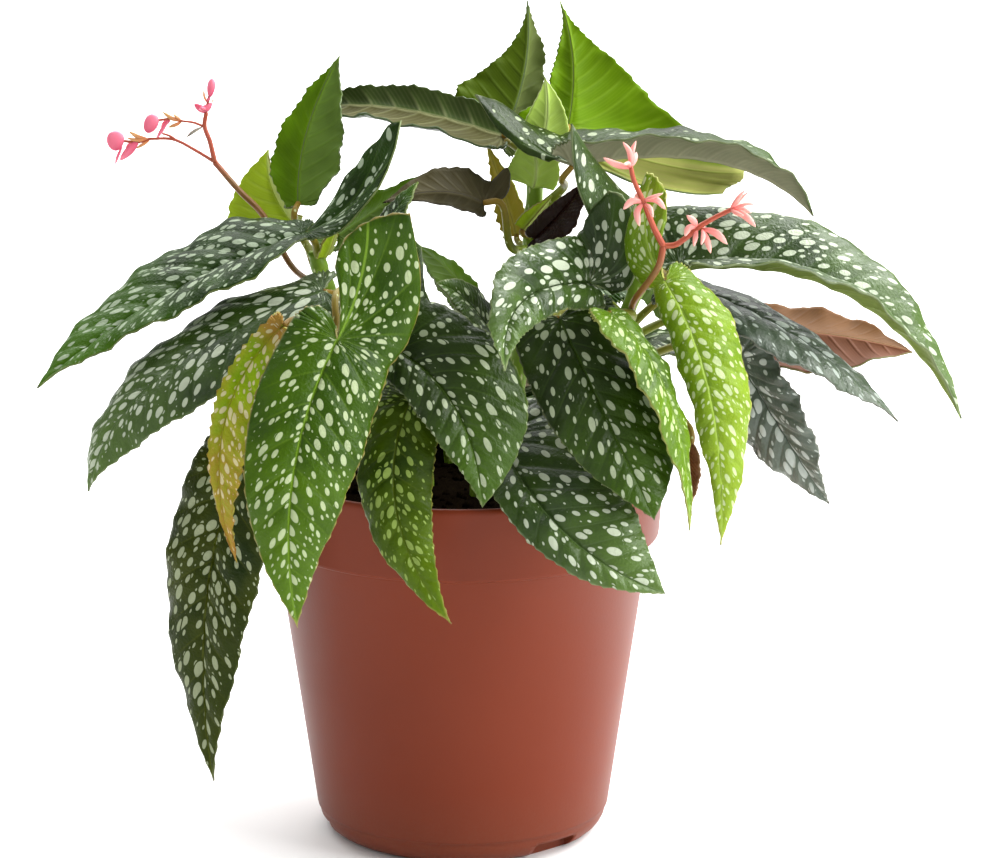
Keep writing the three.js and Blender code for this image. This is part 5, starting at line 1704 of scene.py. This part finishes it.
@dataclass
class Sprays:
    """The two flower sprays: pink buds on the left and salmon flowers on the right."""

    FACING = Vector((0, 1, 0.2))
    PETAL = 1.0
    BRACT = 3.0
    WITHERED = 5.0
    # How far petals pale to their tips, and buds to their tops as partly painted light from above.
    PALING_AND_TOP_LIGHT = 0.98
    seam_width: float = 0.12
    seam_depth: float = 0.1
    bud_taper: float = 0.25
    petal_thickness: float = 0.6
    petal_cup: float = 0.35

    def build(self, slots: dict[str, str]) -> None:
        """Builds both sprays.

        Args:
            slots: The material slot of each node.
        """
        for spray in SPRAYS:
            bm = bmesh.new()
            for run, foot, end in spray.stalks:
                self.lay_stalk(bm, run, foot, end)
            for centre, size, tilt in spray.buds:
                self.lay_bud(bm, centre, size, tilt)
            for kind, limbs in (
                (self.PETAL, spray.petals),
                (self.BRACT, spray.bracts),
                (self.WITHERED, spray.withered),
            ):
                for run, width in limbs:
                    self.lay_petal(bm, run, width, kind)
            settle(bm, spray.piece, spray.node, slots[spray.node], [self.skin(spray)])

    def lay_stalk(self, bm: BMesh, run: Run, foot: float, end: float) -> None:
        """Adds one length of stalk along a run, from its foot radius to its end radius."""
        lay_tube(bm, Path.through(run), lambda part: mix(foot, end, part), 10, 8 * len(run))

    def lay_bud(self, bm: BMesh, centre: Point, size: Point, tilt: float) -> None:
        """Adds a bud of two rounded petals that are pressed together.

        Args:
            bm: The mesh that it is added to.
            centre: The bud's middle.
            size: Its extents before it is tilted.
            tilt: How far it leans to the right in degrees, seen from the front.
        """
        layer = bm.verts.layers.float["warmth"]
        made = bmesh.ops.create_uvsphere(bm, u_segments=32, v_segments=20, radius=0.5)["verts"]
        lean = math.radians(tilt)
        for vertex in made:
            seam = math.exp(-((vertex.co.y / self.seam_width) ** 2))
            x, y, z = vertex.co * (1 - self.seam_depth * seam)
            narrowing = 1 - self.bud_taper * (0.5 - z)
            x, z = x * size[0] * narrowing, z * size[2]
            # The bud pales from its base to its top: partly its own colour, partly painted light from
            # above.
            vertex[layer] = self.PETAL + self.PALING_AND_TOP_LIGHT * clamp(vertex.co.z + 0.5)
            vertex.co = (
                centre[0] + x * math.cos(lean) + z * math.sin(lean),
                centre[1] + y * size[1],
                centre[2] + z * math.cos(lean) - x * math.sin(lean),
            )

    def lay_petal(self, bm: BMesh, run: Run, width: float, kind: float) -> None:
        """Adds a fleshy petal, wing or bract, cupped across and pointed at its tip.

        Args:
            bm: The mesh that it is added to.
            run: Its foot, the points it bends through and its tip.
            width: Half its greatest width.
            kind: The number that gives it its colour.
        """
        layer = bm.verts.layers.float["warmth"]
        path = Path.through(run)

        def place(vertex: BMVert, u: float, w: float) -> Vector:
            """Lays one vertex of the petal, a flattened tube that is widest past its middle.

            Args:
                vertex: The vertex, which takes its colour.
                u: Its share of the petal's length.
                w: Its share of a turn.

            Returns:
                Its place.
            """
            along = path.direction(u)
            across = along.cross(self.FACING).normalized()
            turn = math.tau * w
            half = width * math.sin(math.pi * u**0.8) ** 0.7 * (0.65 + 0.35 * u)
            side = math.cos(turn) * half
            lift = math.sin(turn) * self.petal_thickness * math.sin(math.pi * u) ** 0.5
            vertex[layer] = kind + self.PALING_AND_TOP_LIGHT * clamp(u)
            cup = self.petal_cup * side * side / width
            return path.at(u) + across * side + along.cross(across) * (lift - cup)

        lay_grid(bm, 16, 14, place)

    def skin(self, spray: Spray) -> Material:
        """Dresses a spray in velvety petal skin, which pales to the tips, over orange-red stalks.

        On the buds it pales from base to top, partly as painted light from above.

        Args:
            spray: The spray, with the colours of its petals at foot and tip.

        Returns:
            The material.
        """
        nodes = Nodes(spray.skin)
        place = nodes.add("TexCoord").node.outputs["Object"]
        kind = nodes.add("Attribute", attribute_name="warmth").node.outputs["Fac"]
        patches = nodes.add("TexNoise", {"Vector": place, "Scale": 1 / (4 * MM), "Detail": 2.0})
        height = nodes.add("SeparateXYZ", [place]).node.outputs[2]
        reddening = nodes.add("MapRange", {"Value": height, "From Min": spray.brown_below,
                                           "From Max": spray.brown_below + 10 * MM})
        stalks = nodes.add("Mix", {0: reddening, 6: linear("#6e4a14"), 7: linear("#a83a28")},
                           data_type="RGBA")
        streaks = nodes.add("Mix", {0: patches, 6: linear("#74441a"), 7: linear("#a4703c")},
                            data_type="RGBA")
        colour = nodes.add("Mix", {0: 0.25, 6: stalks, 7: streaks}, data_type="RGBA")
        paling_and_top_light = nodes.add("Math", [kind], operation="FRACT")
        for start, foot, tip in (
            (self.PETAL, spray.deep, spray.pale),
            (self.BRACT, "#c8683c", "#c8a468"),
            (self.WITHERED, "#b0a898", "#6c665c"),
        ):
            skin = nodes.add("Mix", {0: paling_and_top_light, 6: linear(foot), 7: linear(tip)}, data_type="RGBA")
            reached = nodes.add("Math", [kind, start - 0.5], operation="GREATER_THAN")
            colour = nodes.add("Mix", {0: reached, 6: colour, 7: skin}, data_type="RGBA")
        bump = nodes.add("Bump", {"Height": patches, "Strength": 0.2, "Distance": 0.0002})
        return nodes.finish({"Base Color": colour, "Roughness": 0.45, "Normal": bump,
                             "Subsurface Weight": 0.15, "Subsurface Scale": 0.002})


@dataclass
class NurseryPot:
    """A moulded nursery pot with a collar and three shallow notches round its foot."""

    rim_radius: float = 75
    height: float = 141
    collar_height: float = 27
    collar_taper: float = 2
    collar_step: float = 3.5
    base_radius: float = 45
    wall_foot_radius: float = 54.6
    base_rounding: float = 9
    rounding_steps: int = 8
    foot_step: float = 0.8
    wall: float = 2
    floor: float = 5
    notch_size: Point = (20, 19, 6)
    notch_radius: float = 46
    notch_angles: tuple[float, ...] = (-49, 71, 191)
    soil_edge: float = 130
    soil_crown: float = 134
    soil_gap: float = 0.3
    soil_slope: float = 14 / 30
    soil_rings: int = 30
    crumbs: int = 420
    crumb_radius: tuple[float, float] = (0.7, 2.4)
    turns: int = 128

    def build(self, slots: dict[str, str]) -> None:
        """Builds the pot and the soil that fills it."""
        self.build_pot(slots["pot"])
        self.build_soil(slots["soil"])

    def spin(self, bm: BMesh, outline: Sequence[tuple[float, float]]) -> None:
        """Turns a half section round the upright axis.

        Args:
            bm: The mesh that it is added to.
            outline: The section's radius and height pairs.
        """
        marks = [bm.verts.new((radius, 0, height)) for radius, height in outline]
        edges = [bm.edges.new(pair) for pair in zip(marks, marks[1:])]
        bmesh.ops.spin(bm, geom=[*marks, *edges], axis=(0, 0, 1), cent=(0, 0, 0),
                       angle=math.tau, steps=self.turns, use_merge=True)
        bmesh.ops.remove_doubles(bm, verts=bm.verts, dist=0.01)
        bmesh.ops.recalc_face_normals(bm, faces=bm.faces)

    def inside(self, gap: float) -> list[tuple[float, float]]:
        """Draws the pot's inner outline from below its collar to the floor.

        Args:
            gap: How far it is drawn in.

        Returns:
            Its radius and height pairs.
        """
        collar_foot = self.height - self.collar_height
        under = self.rim_radius - self.collar_taper - self.collar_step - self.wall
        return [
            (self.rim_radius - self.collar_taper - self.wall - gap, collar_foot + 2 + gap),
            (under - gap, collar_foot - 1 + gap),
            (self.wall_foot_radius - self.wall - 1 - gap, self.floor + 8 + gap),
            (self.wall_foot_radius - self.wall - 12.6 - gap, self.floor + gap),
            (0, self.floor + gap),
        ]

    def build_pot(self, slot: str) -> None:
        """Builds the pot's wall with its rounded rim, collar and foot, and cuts its notches.

        Args:
            slot: Its material slot.
        """
        collar_foot = self.height - self.collar_height
        collar = self.rim_radius - self.collar_taper
        under = collar - self.collar_step
        inner = self.rim_radius - self.wall
        outline = [(0.0, 0.0)]
        for i in range(self.rounding_steps + 1):
            turn = math.pi / 2 * i / self.rounding_steps
            out = mix(self.base_radius, self.wall_foot_radius - self.foot_step, math.sin(turn))
            outline.append((out, self.base_rounding * (1 - math.cos(turn))))
        outline += [
            (self.wall_foot_radius - 0.15, self.base_rounding + 0.35),
            (self.wall_foot_radius, self.base_rounding + 1),
            (mix(self.wall_foot_radius, under, 0.5), mix(self.base_rounding, collar_foot, 0.5)),
            (under, collar_foot - 1.4),
            (under + 0.5, collar_foot - 0.9),
            (collar - 0.8, collar_foot - 0.6),
            (collar - 0.15, collar_foot),
            (collar, collar_foot + 0.9),
            (self.rim_radius - 0.2, self.height - 3.4),
            (self.rim_radius, self.height - 2.4),
            (self.rim_radius, self.height - 1.2),
            (self.rim_radius - 0.35, self.height - 0.3),
            (self.rim_radius - 1.1, self.height),
            (inner - 0.2, self.height - 0.2),
            (inner - 0.9, self.height - 1.2),
            (inner - 1, self.height - 3),
            *self.inside(0),
        ]
        bm = bmesh.new()
        self.spin(bm, outline)
        cutter = self.notch_cutter()
        piece = settle(bm, "pot_wall", "pot", slot, [self.plastic()])
        cut = piece.modifiers.new("notches", "BOOLEAN")
        cut.object = cutter
        cut.solver = "MANIFOLD"
        bpy.context.view_layer.update()
        whole = bpy.data.meshes.new_from_object(
            piece.evaluated_get(bpy.context.evaluated_depsgraph_get())
        )
        piece.modifiers.remove(cut)
        piece.data = whole
        bpy.data.objects.remove(cutter)

    def notch_cutter(self) -> Object:
        """Makes the rounded blocks that cut the notches from the pot's foot.

        Returns:
            One object that holds them all.
        """
        bm = bmesh.new()
        depth, width, height = self.notch_size
        for azimuth in self.notch_angles:
            made = bmesh.ops.create_cube(bm, size=1)["verts"]
            bmesh.ops.scale(bm, vec=(depth, width, 2 * height), verts=made)
            bmesh.ops.translate(bm, vec=(self.notch_radius + depth / 2, 0, 0), verts=made)
            turn = math.radians(azimuth)
            for vertex in made:
                x, y, z = vertex.co
                vertex.co = (
                    x * math.cos(turn) - y * math.sin(turn), x * math.sin(turn) + y * math.cos(turn), z
                )
        bmesh.ops.bevel(bm, geom=bm.edges[:], offset=1.2, segments=3, profile=0.5, affect="EDGES",
                        material=-1)
        bmesh.ops.scale(bm, vec=(MM, MM, MM), verts=bm.verts)
        mesh = bpy.data.meshes.new("notch_cutter")
        bm.to_mesh(mesh)
        bm.free()
        cutter = bpy.data.objects.new("notch_cutter", mesh)
        bpy.context.scene.collection.objects.link(cutter)
        return cutter

    def plastic(self) -> Material:
        """Dresses the pot in injection-moulded polypropylene: satin, mottled and dusty at its foot.

        Returns:
            The material, with mottling 7 cm across and grain of 1.1 mm.
        """
        nodes = Nodes("moulded_polypropylene")
        place = nodes.add("TexCoord").node.outputs["Object"]
        mottled = nodes.add("TexNoise", {"Vector": place, "Scale": 14.0, "Detail": 4.0})
        grain = nodes.add("TexNoise", {"Vector": place, "Scale": 900.0, "Detail": 2.0})
        colour = nodes.add("Mix", {0: mottled, 6: linear("#6c2b14"), 7: linear("#742f18")},
                           data_type="RGBA")
        height = nodes.add("SeparateXYZ", [place]).node.outputs[2]
        low = nodes.add("MapRange", {"Value": height, "From Min": 0.03, "From Max": 0.0,
                                     "To Max": 0.35})
        dust = nodes.add("Math", [low, grain], operation="MULTIPLY")
        colour = nodes.add("Mix", {0: dust, 6: colour, 7: linear("#6e5040")}, data_type="RGBA")
        rough = nodes.add("MapRange", {"Value": mottled, "To Min": 0.38, "To Max": 0.5})
        bump = nodes.add("Bump", {"Height": grain, "Strength": 0.12, "Distance": 0.0002})
        return nodes.finish({"Base Color": colour, "Roughness": rough, "Normal": bump, "IOR": 1.49,
                             "Specular IOR Level": 0.18})

    def build_soil(self, slot: str) -> None:
        """Builds the soil with a rough top and crumbs that lie sunk in it.

        Args:
            slot: Its material slot.
        """
        edge = self.rim_radius - self.collar_taper - self.wall - self.soil_gap
        slope = edge * self.soil_slope
        top = []
        for i in range(self.soil_rings + 1):
            radius = edge * (1 - i / self.soil_rings)
            top.append((radius, self.soil_height(edge - radius, slope)))
        bm = bmesh.new()
        self.spin(bm, [*reversed(self.inside(self.soil_gap)), *top])
        for vertex in bm.verts:
            if vertex.co.z > self.soil_edge - 1:
                rough = noise.noise(vertex.co / 7) * 1.6 + noise.noise(vertex.co / 2.5) * 0.8
                vertex.co.z += rough - 0.8
        dice = random.Random(11)
        for _ in range(self.crumbs):
            radius = (edge - 2) * math.sqrt(dice.random())
            turn = math.tau * dice.random()
            size = dice.uniform(*self.crumb_radius)
            height = self.soil_height(edge - radius, slope)
            made = bmesh.ops.create_icosphere(bm, subdivisions=1, radius=size)["verts"]
            squash = Vector((dice.uniform(0.6, 1.2), dice.uniform(0.6, 1.2), dice.uniform(0.5, 0.9)))
            middle = Vector((radius * math.cos(turn), radius * math.sin(turn), height - 0.6))
            for vertex in made:
                vertex.co = vertex.co * squash + middle
        settle(bm, "potting_soil", "soil", slot, [self.peat()])

    def soil_height(self, inward: float, slope: float) -> float:
        """Returns the height of the soil at a distance inward from its edge, over a slope's width."""
        return mix(self.soil_edge, self.soil_crown, smooth(inward, 0, slope))

    def peat(self) -> Material:
        """Dresses the soil in moist peat, darkened almost to black as painted shade, with crumbs of 2 mm
        and no shine.

        Returns:
            The material.
        """
        nodes = Nodes("moist_peat")
        place = nodes.add("TexCoord").node.outputs["Object"]
        crumbs = nodes.add("TexNoise", {"Vector": place, "Scale": 1 / (2 * MM), "Detail": 5.0})
        # Near-black peat: its own dark brown, darkened further as painted shade.
        colour = nodes.add("Mix", {0: crumbs, 6: linear("#070503"), 7: linear("#17110b")},
                           data_type="RGBA")
        bump = nodes.add("Bump", {"Height": crumbs, "Strength": 0.8, "Distance": 0.001})
        return nodes.finish({"Base Color": colour, "Roughness": 0.95, "Normal": bump,
                             "Specular IOR Level": 0.0})


@dataclass
class Studio:
    """A pale floor, soft light and a camera at the photograph's viewing angle."""

    target: Point = (14, 0, 152)
    distance: float = 1614
    elevation: float = 13.9
    lens: float = 157.5
    sensor: float = 36
    surround: float = 0.42

    def build(self) -> None:
        """Builds the stage."""
        self.build_floor()
        self.build_lights()
        self.build_camera()

    def build_floor(self) -> None:
        """Lays a plain pale floor that fills the view."""
        bm = bmesh.new()
        bmesh.ops.create_grid(bm, x_segments=1, y_segments=1, size=8)
        mesh = bpy.data.meshes.new("studio_floor")
        bm.to_mesh(mesh)
        bm.free()
        floor = bpy.data.objects.new("studio_floor", mesh)
        bpy.context.scene.collection.objects.link(floor)
        paper = Nodes("white_paper")
        mesh.materials.append(paper.finish({"Base Color": linear("#f6f6f6"), "Roughness": 0.9}))

    def build_lights(self) -> None:
        """Hangs three softboxes and a light over the far floor, in a bright even surround."""
        for name, place, aim, size, power in (
            ("right_softbox", (1.5, -0.6, 0.9), (0, 0, 0.15), 1.0, 32),
            ("left_softbox", (-1.2, -1.3, 1.2), (0, 0, 0.2), 1.0, 5),
            ("overhead_softbox", (1.1, 0.4, 1.4), (0, 0, 0.2), 1.0, 34),
            ("floor_light", (0, 2.4, 2.2), (0, 2.6, 0), 4.0, 220),
        ):
            light = bpy.data.lights.new(name, "AREA")
            light.energy = power
            light.size = size
            lamp = bpy.data.objects.new(name, light)
            lamp.location = place
            way = Vector(aim) - Vector(place)
            lamp.rotation_mode = "QUATERNION"
            lamp.rotation_quaternion = way.to_track_quat("-Z", "Y")
            bpy.context.scene.collection.objects.link(lamp)
        world = bpy.data.worlds.new("studio_surround")
        world.use_nodes = True
        surround = world.node_tree.nodes["Background"]
        surround.inputs["Color"].default_value = (1, 1, 1, 1)
        surround.inputs["Strength"].default_value = self.surround
        bpy.context.scene.world = world
        bpy.context.scene.view_settings.view_transform = "Standard"

    def build_camera(self) -> None:
        """Sets the camera that looks at the plant as the photograph does."""
        slant = math.radians(self.elevation)
        target = Vector(self.target) * MM
        back = Vector((0, -math.cos(slant), math.sin(slant)))
        data = bpy.data.cameras.new("camera")
        data.lens = self.lens
        data.sensor_width = self.sensor
        camera = bpy.data.objects.new("camera", data)
        camera.location = target + back * (self.distance * MM)
        camera.rotation_mode = "QUATERNION"
        camera.rotation_quaternion = (-back).to_track_quat("-Z", "Y")
        bpy.context.scene.collection.objects.link(camera)
        bpy.context.scene.camera = camera


def main() -> None:
    """Loads the frame and builds the studio, the pot and the plant round it."""
    logging.basicConfig(level=logging.INFO, format="%(name)s: %(message)s")
    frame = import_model()
    slots = {row["node"]: row["material_slot"] for row in frame["record"]["subparts"]}
    Studio().build()
    NurseryPot().build(slots)
    Foliage().build(slots)
    Stems({leaf.name: Blade(leaf) for leaf in LEAVES}).build(slots)
    Sprays().build(slots)


if __name__ == "__main__":
    main()
